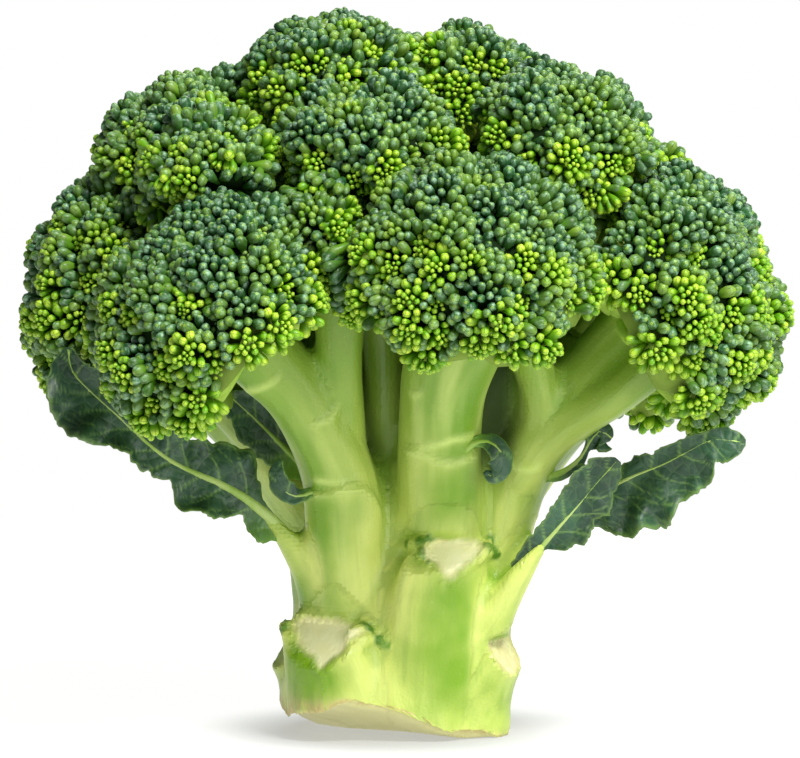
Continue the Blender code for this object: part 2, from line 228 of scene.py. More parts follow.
# A branch for each floret, and six thinner arms beside them
BRANCHES = [
    [(8, -8, 18, 9.5), (9, -11, 40, 9.4), (9, -17, 58, 8.8), (9.8, -26, 74, 9), (13.5, -38, 90, 11)],
    [(-9, -8, 20, 9), (-10.5, -14, 42, 8.5), (-12, -17, 56, 7.6), (-19.5, -24, 72, 7.2),
     (-32, -32, 86, 8.6)],
    [(-11, -14, 52, 5.6), (-11, -21, 68, 4.6), (-11.5, -28.5, 82, 4.8), (-11.5, -32, 94, 6)],
    [(-12, 2, 22, 9), (-18, 3, 42, 6.5), (-25, 4, 54, 6), (-36, 5, 67, 6.5), (-50, 5, 82, 9)],
    [(15, -4, 22, 9), (21, -6, 42, 7.5), (26, -8, 57, 7.5), (38, -11, 72, 8), (52, -14, 86, 9)],
    [(13, 8, 24, 9), (19, 12, 42, 7.5), (25, 17, 56, 7), (34, 23, 68, 7), (44, 29, 80, 9)],
    [(2, 12, 24, 10), (3, 18, 44, 8.5), (4, 24, 58, 8), (5, 33, 72, 8.5), (5, 43, 86, 10)],
    [(-10, 10, 24, 9), (-14, 15, 42, 7.5), (-19, 21, 56, 7), (-27, 28, 70, 7.5), (-36, 35, 84, 9)],
    [(0, -5, 40, 5), (-1.5, -9, 62, 4.6), (-3, -14, 84, 5), (-4, -20, 107, 7)],
    [(24, -8, 54, 6), (29.5, -12, 66, 4.8), (28.5, -19, 77, 4.4), (25, -28, 88, 6)],
    [(10, -5, 56, 8.4), (18, -9, 74, 8.2), (26, -13, 92, 7), (33, -17, 112, 8)],
    [(-9, -6, 62, 6), (-18, -11, 80, 5.5), (-29, -17, 97, 5.5), (-35, -21, 110, 6)],
    [(-9, 2, 60, 7), (-19, 3, 78, 6.5), (-33, 4, 96, 6.5), (-43, 5, 111, 8)],
    [(9, 4, 56, 8), (20, 7, 75, 7.5), (30, 11, 92, 7), (38, 13, 109, 8)],
    [(-5, 8, 60, 7), (-11, 14, 80, 6.5), (-18, 21, 97, 6.5), (-23, 27, 112, 8)],
    [(4, 8, 60, 7), (8, 16, 80, 6.5), (12, 25, 98, 6.5), (14, 32, 113, 8)],
    [(-2, 1, 62, 9), (-5, 1, 86, 8), (-10, 1, 106, 8), (-13, 1, 122, 9)],
    [(4, 3, 66, 8), (8, 5, 88, 7), (13, 7, 108, 7), (16, 9, 122, 8)],
    [(24, -8, 50, 5.5), (33, -13, 63, 4.6), (45, -19, 72, 4.5), (56, -22, 82, 5)],
    [(22, 6, 44, 5.5), (32, 8, 58, 4.8), (43, 10, 70, 4.8), (55, 12, 82, 5.5)],
    [(-18, 1, 44, 5), (-29, -2, 61, 4.5), (-39, -9, 73, 4.5), (-46, -18, 84, 5)],
    [(2, 18, 48, 5.5), (-6, 27, 62, 4.8), (-13, 36, 76, 5), (-14, 42, 86, 5)],
    [(12, 17, 48, 5.5), (18, 27, 63, 4.8), (23, 36, 77, 5), (22, 42, 86, 5)],
]
# The feet of the leaves that were left on
LEAF_FEET = [
    [(-11, -6, 6, 8, 8), (-13.5, -9, 22, 6.5, 6.5), (-17, -12, 33, 5.2, 4),
     (-22, -15.4, 41, 3.6, 2.4), (-27.5, -17.6, 47, 1.6, 0.9)],
    [(13, -7, 6, 8, 8), (17, -11, 20, 6, 6), (21.5, -14.5, 28, 4.8, 3.8),
     (26.5, -18, 36, 3.2, 2.2), (31, -20.2, 42, 1.4, 0.8)],
    [(13, 2, 10, 8, 8), (18, -4, 22, 5.5, 5.5), (22.5, -9.5, 32, 4, 3.2),
     (28, -12, 39, 2.6, 1.9), (34, -13.6, 46, 1.2, 0.8)],
]
# The straps of the trimmed leaves, and for each the middle of the knife cut and the way it faces
STRAPS = [
    [(-11, -11, -6, 11, 10), (-12, -13, 8, 11, 10.5), (-14.5, -17, 18, 10.2, 7),
     (-16, -20.5, 24, 9.5, 4)],
    [(7.5, -11, 10, 13, 9), (8.5, -14.5, 24, 12, 8), (9.6, -18.5, 35, 10.5, 5),
     (10.4, -21.5, 41, 9.5, 3.2)],
    [(14, -6, -6, 9, 9), (15.5, -7, 6, 9, 9), (20, -10, 14, 7, 5.5), (24, -12, 19.5, 6, 4)],
    [(-15, 2, -6, 9, 9), (-17, 2, 6, 9, 8), (-21, 3, 13, 7, 5.5), (-25, 3, 18, 6, 4)],
    [(0, 13, 0, 11, 9), (-1, 15, 14, 10, 8), (-2, 20, 26, 8.5, 5.5), (-2.5, 24, 33, 7.5, 4)],
]
STRAP_KEEL = 0.35
CUTS = [
    ((-15.6, -20.4, 20.3), (-0.44, -0.73, 0.52)),
    ((10.0, -22.8, 37.6), (0.10, -0.76, 0.64)),
    ((24.0, -11.6, 15.5), (0.80, -0.40, 0.45)),
    ((-25.0, 2.4, 14.0), (-0.84, -0.10, 0.54)),
    ((-2.0, 23.8, 28.5), (-0.05, 0.76, 0.65)),
]
# How much of the pale flesh shows on the three stubs at the sides and the back
STUBS_BARED = (0.75, 0.1, 1.0)
STUB_KNIFE = (28, 12, 12)
FOOT_KNIFE = (90, 90, 30)
FOOT_CUTS = [((0, 0, 0), (0, 0, -1)), ((-5, -5.2, 0), (-0.30, -0.30, -0.906))]
# The slanting face of the foot lies past x + y = -SLANT_FROM, and is tilted as it goes right and back
SLANT_FROM = 10.2
TILT_MIDDLE = 2.6
TILT_RIGHT = 0.21
TILT_BACK = -0.02
# How much higher than the knife's plane the front of the foot's rim was torn, from left to right
TORN_AT = (-26, -23.3, -20, -15, -12.6, -8.6, -1, 7, 14, 18, 21)
TORN_BY = (-8, -6.7, -4.0, -2.9, -1.0, 1.4, 1.9, 2.0, 2.2, 1.6, 0)
# How far the left end of the foot sweeps up off the table, and how high up the stalk that is felt
SWEPT_AT = (-26, -23.3, -20.5, -16.8, -10)
SWEPT_BY = (6.0, 4.4, 1.8, 0.4, 0)
SWEEP_HEIGHT = 14
LIMB_SIDES = 24
LIMB_STEPS = 7
LIMB_SHIFT = 37.0
LIMBS_NEAR = 7
MELT_VOXEL = 0.95
MELT_SMOOTHING = 9
SKIN_VOXEL = 0.89
EAR_PROUD = 1.5
EAR_RADIUS = (1.0, 1.55)
# The skin's unevenness: how large each kind of it is, and how far it lifts the skin
TEAR_SIZE = 1.6
SWELL_SIZE = 11.0
FIBRE_SIZE = (2.2, 2.2, 26.0)
FIBRE_LIFT = 0.16
SWELL_LIFT = 0.30
EAR_TEAR = 0.55
RIM_TEAR = 0.6
SCAR_PITTED = 0.12
SCAR_SUNK = 0.4
LIP_LIFT = 0.42
LIP_TEAR = 0.5
STRAIGHT_ON = 0.7

# The torn ears of leaf at the ends of a scar, from root to tip, as (x, z, stands out, radius)
EARS = [
    [(-21.7, 20.3, -0.5, 1.5), (-22.7, 22.5, 0.3, 1.3), (-23.5, 24.1, 0.7, 1.0),
     (-23.9, 25.5, 0.6, 0.5)],
    [(-10.9, 21.3, -0.5, 1.2), (-8.9, 22.7, 0.5, 1.2), (-7.1, 23.7, 0.9, 1.0),
     (-5.7, 23.5, 0.9, 0.5)],
    [(-7.9, 21.3, -0.5, 1.3), (-5.1, 22.1, 0.3, 1.2), (-3.3, 21.5, 0.5, 1.0), (-2.1, 20.5, 0.2, 0.6)],
    [(1.5, 39.7, -0.5, 1.2), (3.1, 41.1, 0.3, 1.2), (4.9, 40.9, 0.9, 1.1), (6.7, 41.3, 0.8, 0.6)],
    [(4.1, 40.3, 0.0, 1.1), (5.7, 39.3, 0.7, 1.1), (6.7, 38.3, 0.6, 0.6)],
    [(16.7, 38.7, -0.3, 1.1), (18.1, 40.3, 0.5, 1.1), (18.9, 41.5, 0.7, 0.6)],
    [(17.5, 38.9, -0.2, 1.0), (19.3, 39.1, 0.5, 1.0), (20.4, 38.5, 0.4, 0.5)],
]
# The pale faces of the two scars in front, as (x, z) outlines
SCARS = [
    [(-21.4, 24.6), (-20.0, 25.4), (-16.3, 25.7), (-12.9, 25.5), (-9.4, 24.7), (-6.8, 23.5),
     (-9.8, 21.9), (-10.9, 19.7), (-12.9, 18.2), (-14.5, 16.6), (-15.5, 15.9), (-16.7, 17.6),
     (-19.0, 19.1), (-20.4, 20.7)],
    [(5.8, 41.1), (8.4, 42.0), (12.9, 42.3), (16.5, 41.7), (17.9, 40.7), (16.4, 38.9),
     (14.7, 37.9), (13.5, 36.7), (11.9, 35.3), (10.7, 34.7), (9.3, 36.1), (8.1, 37.7), (6.9, 38.7)],
]
# Ledges left where small leaves clasped a branch: (x, z) points along the front, then how far the skin
# below the line stands out, and how far down that fades
LEDGES = [
    ([(-20.0, 52.0), (-15.0, 52.4), (-11.0, 53.4), (-7.6, 53.4), (-4.8, 51.4), (-3.2, 47.0),
      (-2.8, 42.0)], 1.0, 9.0),
    ([(-17.6, 55.4), (-12.4, 54.8), (-8.0, 53.8)], 0.45, 3.0),
    ([(1.2, 61.6), (5.0, 61.2), (8.6, 59.4), (11.2, 59.0), (14.0, 59.8), (17.2, 61.6)], 0.95, 9.0),
    ([(2.6, 61.8), (8.0, 62.8), (12.0, 64.0), (17.0, 64.6)], 0.5, 3.0),
    ([(-18.0, 66.6), (-14.0, 68.2), (-11.4, 71.4)], 0.8, 5.0),
    ([(-32.6, 74.0), (-28.0, 75.0), (-23.0, 77.6)], 0.8, 5.0),
    ([(2.0, 74.6), (3.4, 73.4), (5.6, 74.4)], 0.6, 4.0),
    ([(22.0, 58.4), (26.0, 56.8), (30.6, 57.4)], 0.7, 5.0),
]
# How wide the painted highlight along a ledge's line is
LEDGE_LINE = 0.55
# The stalk's greens from its foot to its branches, darker up the branches with painted shade under the
# crown, a painted highlight along the ledges, painted shade between the branches, then what was cut,
# torn or has dried
PALE_SKIN = plant_colour(214, 227, 116)
GREEN_SKIN = plant_colour(122, 166, 14)
BRANCH_GREEN = plant_colour(100, 146, 16)
PALE_BAND = plant_colour(222, 236, 138)
FIBRE_GREEN = plant_colour(116, 162, 44)
PORE_PALE = plant_colour(232, 244, 196)
CREASE_GREEN = plant_colour(124, 166, 44)
LEDGE_PALE = plant_colour(206, 228, 122)
INNER_DARK = plant_colour(20, 38, 2)
EAR_GREENS = (plant_colour(84, 132, 34), plant_colour(164, 200, 84))
PITH_CREAMS = (plant_colour(240, 238, 160), plant_colour(254, 252, 208))
FOOT_CREAMS = (plant_colour(222, 218, 138), plant_colour(246, 242, 178))
DRIED_BROWN = plant_colour(176, 142, 92)
RIM_BROWN = plant_colour(202, 178, 116)
# Where the skin greens above the foot, where the branches darken with their own green and painted shade
# under the crown, and where the left strap is greener still
FOOT_GREENS = (4, 18)
BRANCH_GREENS = (34, 82)
STRAP_ACROSS = (-4, -12)
STRAP_BELOW = (24, 16)
# The room between the branches, darkened with painted shade: its mouth at two places across, its height
# and its half width
MOUTH_ACROSS = (4, 12)
MOUTH_DEPTH = (-12, -20)
ROOM_ABOVE = (50, 62)
ROOM_HALF_WIDTH = (27, 22)
# How far the patterns on the skin are drawn out along a limb
ALONG_FIBRES = (1, 1, 0.06)
ALONG_BANDS = (1, 1, 0.12)


def limb_rings(stations, keel=0.0):
    """Rings round a limb, wide across the way out from the stalk, with a keel down its outer side."""
    rows = on_curve([(*row, row[3])[:5] for row in stations], LIMB_STEPS)
    line = rows[:, :3]
    outwards = np.array([line[-1][0], line[-1][1] - 0.01, 0.0])
    turns = np.arange(LIMB_SIDES) * math.tau / LIMB_SIDES
    outer = np.clip(-np.sin(turns), 0, 1) ** 3
    rings, frames = [], []
    for row, along in zip(rows, directions(line)):
        wide = unit(np.cross(along, outwards))
        deep = np.cross(wide, along)
        across = np.cos(turns)[:, None] * wide * row[3]
        out = (np.sin(turns) * (1 + keel * outer))[:, None] * deep * row[4]
        rings.append(row[:3] + across + out)
        frames.append((row[:3], wide, deep, row[3]))
    return rings, frames


def make_slab(at, faces, size, material):
    """A block on the outer side of a knife cut, for what the knife took off."""
    shape = bmesh.new()
    bmesh.ops.create_cube(shape, size=1.0)
    turn = Vector(faces).to_track_quat("Z", "Y").to_matrix().to_4x4()
    lift = Matrix.Diagonal((*size, 1)) @ Matrix.Translation((0, 0, 0.5))
    bmesh.ops.transform(shape, matrix=Matrix.Translation(Vector(at)) @ turn @ lift, verts=shape.verts)
    return add_piece("knife", shape, material)


def melt(piece, voxel, smoothing):
    """Turns overlapping limbs into one skin with soft crotches."""
    skin = piece.modifiers.new("melt", "REMESH")
    skin.mode = "VOXEL"
    skin.voxel_size = voxel / 1000
    if smoothing:
        relax = piece.modifiers.new("relax", "SMOOTH")
        relax.factor = 0.5
        relax.iterations = smoothing
    return settle(piece)


def slice_off(piece, slabs):
    """Takes the shapes of these slabs out of a piece."""
    group = bpy.data.collections.new("knives")
    for slab in slabs:
        group.objects.link(slab)
    knife = piece.modifiers.new("knife", "BOOLEAN")
    knife.operation = "DIFFERENCE"
    knife.solver = "MANIFOLD"
    knife.operand_type = "COLLECTION"
    knife.collection = group
    settle(piece)
    for slab in slabs:
        bpy.data.objects.remove(slab)


def stalk_skin(put):
    """Waxy pale green skin with fibres along each limb, cream scars, and a brown rim round the foot."""
    maths, blend, ramp, read, speckle = mixing(put)
    place = put("TexCoord").outputs["Object"]
    flow = read("flow", "Vector")
    fibres = speckle(flow, 520.0, 4.0, ALONG_FIBRES)
    bands = speckle(flow, 130.0, 3.0, ALONG_BANDS)
    patches = speckle(place, 42.0, 3.0)
    pores = speckle(place, 1500.0, 2.0)
    uneven = maths("MULTIPLY", maths("SUBTRACT", patches, 0.5), 2.4)
    green = maths("ADD", read("green"), uneven, clamp=True)
    skin = blend(green, PALE_SKIN, GREEN_SKIN)
    # Painted shade under the crown, with the branches' own darker green
    skin = blend(read("shaded"), skin, BRANCH_GREEN)
    skin = blend(maths("MULTIPLY", ramp(bands, 0.50, 0.78), 0.42), skin, PALE_BAND)
    skin = blend(maths("MULTIPLY", ramp(fibres, 0.45, 0.7), 0.2), skin, FIBRE_GREEN)
    skin = blend(maths("MULTIPLY", ramp(pores, 0.66, 0.78), 0.10), skin, PORE_PALE)
    skin = blend(maths("MULTIPLY", read("crease"), 0.4), skin, CREASE_GREEN)
    # Painted highlight along each ledge's line
    skin = blend(maths("MULTIPLY", read("ledge"), 0.95), skin, LEDGE_PALE)
    # Painted shade in the room between the branches, stored as deep
    skin = blend(read("deep"), skin, INNER_DARK)
    skin = blend(read("ear"), skin, blend(ramp(patches, 0.4, 0.6), *EAR_GREENS))
    skin = blend(read("scar"), skin, blend(speckle(place, 260.0, 5.0), *PITH_CREAMS))
    dried = maths("MULTIPLY", read("dry"), ramp(speckle(place, 480.0, 4.0), 0.3, 0.6))
    skin = blend(dried, skin, DRIED_BROWN)
    skin = blend(read("foot"), skin, blend(speckle(place, 200.0, 5.0), *FOOT_CREAMS))
    browned = maths("MULTIPLY", read("rim"), ramp(speckle(place, 520.0, 4.0), 0.25, 0.6))
    skin = blend(browned, skin, RIM_BROWN)
    height = maths("ADD", maths("MULTIPLY", fibres, 0.6), maths("MULTIPLY", pores, 0.4))
    bump = put("Bump", {"Strength": 0.5, "Distance": 0.0005, "Height": height})
    matt = maths("ADD", maths("MULTIPLY", read("scar"), 0.3), maths("MULTIPLY", read("deep"), 0.55))
    return {
        "Base Color": skin,
        "Roughness": maths("ADD", 0.38, matt),
        "Normal": bump.outputs["Normal"],
    }


def nearest_limb(points, frames):
    """For each point: its place across, out and along its own limb, and how far across that it is."""
    tree = search_tree([middle for middle, *_ in frames])
    flow = np.zeros((len(points), 3))
    share = np.zeros(len(points))
    for row, point in enumerate(points):
        near = tree.find_n(point, LIMBS_NEAR)
        _, index, _ = min(near, key=lambda found: found[2] - frames[found[1]][3])
        middle, wide, deep, radius, along = frames[index]
        away = point - middle
        flow[row] = (away @ wide, away @ deep, along + away @ np.cross(deep, wide))
        share[row] = flow[row][0] / radius
    return flow, share


stalk_material = dress("stalk_skin", stalk_skin)
limbs = bmesh.new()
limb_frames = []
for number, stations in enumerate([TRUNK, *LEAF_FEET, *BRANCHES, *STRAPS]):
    strap = number >= 1 + len(LEAF_FEET) + len(BRANCHES)
    rings, frames = limb_rings(stations, STRAP_KEEL if strap else 0.0)
    skin_rings(limbs, rings)
    run = LIMB_SHIFT * number
    for before, frame_here in zip([frames[0], *frames], frames):
        run += np.linalg.norm(frame_here[0] - before[0])
        limb_frames.append((*frame_here, run))
stalk = melt(add_piece("stalk_flesh", limbs, stalk_material), MELT_VOXEL, MELT_SMOOTHING)
slice_off(stalk, [make_slab(*cut, STUB_KNIFE, stalk_material) for cut in CUTS])
slice_off(stalk, [make_slab(*cut, FOOT_KNIFE, stalk_material) for cut in FOOT_CUTS])

# The ears are drawn on the skin that is there, then melted into it
rough = bmesh.new()
rough.from_mesh(stalk.data)
bmesh.ops.scale(rough, vec=(1000, 1000, 1000), verts=rough.verts)
skin_tree = BVHTree.FromBMesh(rough)


def on_front(x, z, proud=0.0):
    """The point of the stalk's front at this x and z, standing out by so much."""
    point, out, _, _ = skin_tree.ray_cast(Vector((x, -200, z)), Vector((0, 1, 0)))
    if point is None:
        point, out, _, _ = skin_tree.find_nearest(Vector((x, -12, z)))
    return np.array(point + out * proud)


ear_points = []
for ear in EARS:
    line = [on_front(x, z, EAR_PROUD * proud) for x, z, proud, _ in ear]
    add_tube(rough, line, [radius for *_, radius in ear], 8, 5)
    ear_points += list(line[1:])
bpy.data.objects.remove(stalk)
stalk = melt(add_piece("stalk_flesh", rough, stalk_material), SKIN_VOXEL, 1)


def closeness(points, marks, near, far):
    """1 at these marks, falling to 0 further off."""
    tree = search_tree(marks)
    return smooth(far, near, np.array([tree.find(point)[2] for point in points]))


def ledge_steps(points, normals):
    """How far the ledges push each point out, and the painted highlight near each ledge's line."""
    push = np.zeros(len(points))
    line_near = np.zeros(len(points))
    front = smooth(0.05, 0.45, -normals[:, 1]) * (points[:, 1] < 4.0)
    for line, step, fade in LEDGES:
        laid = on_curve(line, 8)
        order = np.argsort(laid[:, 0])
        edge = np.interp(points[:, 0], laid[order, 0], laid[order, 1])
        ends = smooth(laid[:, 0].min() - 0.2, laid[:, 0].min() + 1.6, points[:, 0])
        ends = ends * smooth(laid[:, 0].max() + 0.2, laid[:, 0].max() - 1.2, points[:, 0])
        below = edge - points[:, 2]
        window = front * ends
        push += step * window * smooth(-0.9, 0.7, below) * np.exp(-np.maximum(below, 0) / fade)
        # Painted highlight along the ledge's line
        line_near = np.maximum(line_near, window * np.exp(-((below - 0.3) / LEDGE_LINE) ** 2))
    return push, line_near


def inside_by(outline, places):
    """How far inside an outline each place is, and below 0 outside it."""
    corners = np.array(outline)
    after = np.roll(corners, -1, axis=0)
    run = after - corners
    away = places[:, None] - corners
    share = np.clip(np.sum(away * run, axis=2) / np.sum(run**2, axis=1), 0, 1)
    gap = np.min(np.linalg.norm(away - share[:, :, None] * run, axis=2), axis=1)
    spans = (corners[:, 1] > places[:, 1:]) != (after[:, 1] > places[:, 1:])
    slope = run[:, 0] / np.where(np.abs(run[:, 1]) < 1e-9, 1e-9, run[:, 1])
    left = places[:, :1] < corners[:, 0] + slope * (places[:, 1:] - corners[:, 1])
    odd = np.sum(spans & left, axis=1) % 2 == 1
    return np.where(odd, gap, -gap)


def spread(mesh, values, rounds):
    """Evens out values over a mesh's neighbouring points."""
    edges = np.zeros(len(mesh.edges) * 2, int)
    mesh.edges.foreach_get("vertices", edges)
    first, second = edges.reshape(-1, 2).T
    size = len(values)
    count = np.bincount(first, minlength=size) + np.bincount(second, minlength=size)
    for _ in range(rounds):
        total = np.bincount(first, values[second], size) + np.bincount(second, values[first], size)
        values = 0.4 * values + 0.6 * total / np.maximum(count, 1)
    return values


def along_rim(face):
    """1 along the edge of a face whose marks were spread, and 0 inside and outside it."""
    return np.clip(4 * face * (1 - face), 0, 1)


def stub_scars(points, normals):
    """How far each point lies on the knife cut of a stub at the sides or the back."""
    scar = np.zeros(len(points))
    for (at, faces), bared in zip(CUTS[len(SCARS):], STUBS_BARED):
        faces = unit(np.array(faces))
        above = (points - at) @ faces
        flat = smooth(0.8, 0.3, np.abs(above)) * smooth(0.90, 0.97, normals @ faces)
        near = smooth(15.0, 12.0, np.linalg.norm(points - at, axis=1))
        scar = np.maximum(scar, bared * flat * near)
    return scar


def front_scars(points, normals, torn):
    """How far each point lies on one of the front scars, on the lip below it, and on its edge."""
    scar, lip, edge = np.zeros((3, len(points)))
    front = smooth(0.05, 0.35, -normals[:, 1]) * (points[:, 1] < -8)
    for outline in SCARS:
        top = max(z for _, z in outline)
        inside = inside_by(outline, points[:, ::2]) + 0.5 * torn
        below = smooth(top - 0.4, top - 2.0, points[:, 2])
        scar = np.maximum(scar, front * smooth(-0.35, 0.35, inside))
        lip = np.maximum(lip, front * below * np.exp(-(((inside + 0.9) / 0.8) ** 2)))
        edge = np.maximum(edge, front * np.exp(-((inside / 0.35) ** 2)))
    return scar, lip, edge


def foot_cuts(points, normals):
    """1 on the faces that the knife left under the foot."""
    foot = np.zeros(len(points))
    for at, faces in FOOT_CUTS:
        faces = unit(np.array(faces, float))
        level = smooth(0.7, 0.25, np.abs((points - at) @ faces))
        foot = np.maximum(foot, level * (normals @ faces > STRAIGHT_ON))
    return foot


def tear_foot(places, points, foot):
    """Tilts the foot's slanting face, tears its rim, and sweeps its left end up off the table."""
    slanting = -(points[:, 0] + points[:, 1] + SLANT_FROM)
    tilt = TILT_MIDDLE + TILT_RIGHT * points[:, 0] + TILT_BACK * points[:, 1]
    places[:, 2] += foot * tilt * smooth(-12, 16, slanting)
    torn_up = np.interp(points[:, 0], TORN_AT, TORN_BY) * smooth(3, -7, points[:, 1])
    places[:, 2] += along_rim(foot) * torn_up
    places[:, 2] = np.maximum(places[:, 2], 0.0)
    swept = np.interp(points[:, 0], SWEPT_AT, SWEPT_BY)
    places[:, 2] += swept * np.clip(1 - places[:, 2] / SWEEP_HEIGHT, 0, 1)


def finish_stalk():
    """Lays fibres on the stalk's skin and marks its scars, ears, ledges and dried rims, with a painted
    highlight along the ledges and painted shade under the crown and between the branches.
    """
    mesh = stalk.data
    points = points_of(mesh)
    across, depth, height = points.T
    normals = np.zeros(len(points) * 3)
    mesh.vertices.foreach_get("normal", normals)
    normals = normals.reshape(-1, 3)
    flow, share = nearest_limb(points, limb_frames)
    torn = np.array([noise.noise(Vector(p) / TEAR_SIZE) for p in points])
    grain = np.array([noise.noise(Vector(f / np.array(FIBRE_SIZE))) for f in flow])
    swell = np.array([noise.noise(Vector(p) / SWELL_SIZE) for p in points])

    dried = stub_scars(points, normals)
    scar, lip, scar_edge = front_scars(points, normals, torn)
    scar = np.maximum(scar, dried)
    foot = foot_cuts(points, normals)
    ear = closeness(points, ear_points, *EAR_RADIUS)
    soft_foot = spread(mesh, foot, 6)
    soft_scar = spread(mesh, scar, 1)
    soft_dried = spread(mesh, dried, 3)
    near_foot = spread(mesh, foot, 2)
    rim = along_rim(near_foot)
    still = (1 - soft_foot) * (1 - soft_scar)

    push, ledge = (spread(mesh, values, 1) for values in ledge_steps(points, normals))
    move = (FIBRE_LIFT * grain + SWELL_LIFT * swell) * still + push
    pitted = SCAR_PITTED * (1 - np.abs(torn)) * soft_scar
    move = move + EAR_TEAR * torn * ear + RIM_TEAR * torn * rim - pitted
    move += lip * (LIP_LIFT + LIP_TEAR * torn) - SCAR_SUNK * soft_scar
    places = points + normals * move[:, None]
    tear_foot(places, points, soft_foot)
    places /= 1000
    mesh.vertices.foreach_set("co", places.ravel())

    evened = np.stack([spread(mesh, places[:, axis], 5) for axis in range(3)], axis=1)
    hollow = np.sum((evened - places) * normals, axis=1) * 1000
    green = (1 - share**2) * 0.95 + 0.10 * np.clip(height / 60.0, 0, 1)
    green = green - 0.5 * smooth(-0.02, -0.10, hollow)
    green = green * (0.35 + 0.65 * smooth(*FOOT_GREENS, height))
    green += 0.45 * smooth(*STRAP_ACROSS, across) * smooth(*STRAP_BELOW, height)
    crease = smooth(0.03, 0.16, hollow) * still * (1 - ear) * (1 - np.clip(lip * 1.5, 0, 1))
    # Painted shade in the room between the branches
    inner = smooth(-3, 2, depth - np.interp(across, MOUTH_ACROSS, MOUTH_DEPTH))
    inner = inner * smooth(*ROOM_ABOVE, height) * smooth(*ROOM_HALF_WIDTH, np.abs(across))
    dry = 0.36 * along_rim(soft_dried) + 0.10 * soft_dried + 0.22 * scar_edge
    marks = {
        "green": np.clip(spread(mesh, green, 9), 0, 1),
        "crease": crease,
        # The branches' darker green, with painted shade under the crown
        "shaded": 0.78 * smooth(*BRANCH_GREENS, height),
        "deep": 0.9 * spread(mesh, inner, 3),
        "ledge": ledge,
        "ear": ear * (1 - scar),
        "scar": soft_scar,
        "dry": np.clip(dry, 0, 1),
        "foot": near_foot,
        "rim": rim,
    }
    give(mesh, "flow", "FLOAT_VECTOR", flow / 1000)
    for name, values in marks.items():
        give(mesh, name, "FLOAT", values)
    mesh.update()


finish_stalk()
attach(stalk, "root")
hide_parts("stalk")


# ---------------------------------------------------------------------------------------------------
# Florets. Domes of fleshy twigs that fork out of the branches and press on each other. The twigs end
# in rosettes of closed flower buds, so a dome's skin is nothing but buds: small, young and yellow
# green in a rosette's middle, larger and bluer round it.
# ---------------------------------------------------------------------------------------------------

# name: centre, the way the crown faces, radius across, radius along the way it faces
FLORETS = {
    "front": ((15, -44, 97), (0.10, -0.62, 0.78), 29.0, 25.0),
    "front_left": ((-36, -37, 89), (-0.55, -0.60, 0.58), 29.5, 23.0),
    "left": ((-54, 4, 93), (-0.92, -0.10, 0.38), 30.0, 25.5),
    "back_left": ((-38, 38, 90), (-0.60, 0.65, 0.45), 29.0, 25.0),
    "back": ((5, 47, 91), (0.05, 0.75, 0.66), 29.0, 26.0),
    "back_right": ((47, 29, 87), (0.70, 0.60, 0.38), 30.0, 26.0),
    "right": ((55, -15, 92), (0.85, -0.40, 0.34), 31.0, 25.0),
    "between": ((-13, -32, 100), (-0.10, -0.75, 0.65), 19.0, 18.5),
    "upper_left_front": ((-36, -22, 115), (-0.30, -0.60, 0.75), 18.5, 16.5),
    "upper_front": ((-5.5, -23, 118.5), (0.00, -0.60, 0.80), 23.0, 19.5),
    "upper_right_front": ((33.5, -19, 120.5), (0.40, -0.50, 0.75), 23.0, 20.5),
    "upper_left": ((-41, 4, 117), (-0.50, -0.05, 0.86), 25.0, 23.0),
    "upper_right": ((42, 11, 112), (0.60, 0.20, 0.78), 23.5, 21.0),
    "upper_back_left": ((-24, 29, 117), (-0.30, 0.50, 0.80), 24.5, 21.0),
    "upper_back": ((15, 33, 117), (0.15, 0.60, 0.75), 23.5, 20.5),
    "top": ((-13, 1, 129), (-0.10, -0.10, 1.00), 25.0, 23.0),
    "top_right": ((14, 8, 129), (0.20, 0.10, 1.00), 22.0, 21.0),
}
# How a floret's rim climbs from one side to the other: (rise, from x, to x), as shares of its radius
RIMS = {
    "front": [(0.14, -0.42, -0.05)],
    "front_left": [(0.30, -0.28, 0.10), (0.10, 0.10, 0.45)],
    "right": [(0.20, 0.45, 0.05)],
    "upper_left_front": [(-0.34, -3.0, -2.0)],
    "upper_left": [(-0.30, -3.0, -2.0)],
    "upper_front": [(-0.22, -3.0, -2.0)],
    "upper_right": [(-0.28, -3.0, -2.0)],
    "upper_back_left": [(-0.25, -3.0, -2.0)],
    "upper_back": [(-0.25, -3.0, -2.0)],
}
# How sharply domes meet, how full a dome is, and how deep its underside and an overlap are
PRESS_SHARPNESS = 14.0
DOME_FULLNESS = 2.2
UNDERSIDE = 0.42
FLORET_OVERLAP = 3.0
# The rosettes sit on lumps of the dome, and in the clefts between the lumps they lie deeper
SKIN_SAMPLES = 5200
FREE_OF_NEIGHBOURS = 0.84
STEP_ASIDE = 0.04
LUMP_APART = 16.0
LUMP_DEPTH = 4.6
RIM_LOW = -0.06
RIM_WAVES = [(0.04, 2, 1), (0.07, 6, 2)]
HANGS = (0.25, -0.15)
PATCH_SIZE = 17.0
ROSETTE_APART = 7.6
ROSETTE_DOME = 7.0
RIM_ROSETTE_DOME = 4.6
ROSETTE_BUDS = 46
ROSETTE_FILL = 0.30
ROSETTE_REACH = 1.75
# How many buds lie in a rosette's middle before the grown ones when it is old, and how many more when
# it is young; how far out the young colour reaches, likewise
GROWN_AFTER = 7.0
GROWN_LATER = 14.0
YOUNG_REACH = 2.0
YOUNG_REACH_MORE = 2.2
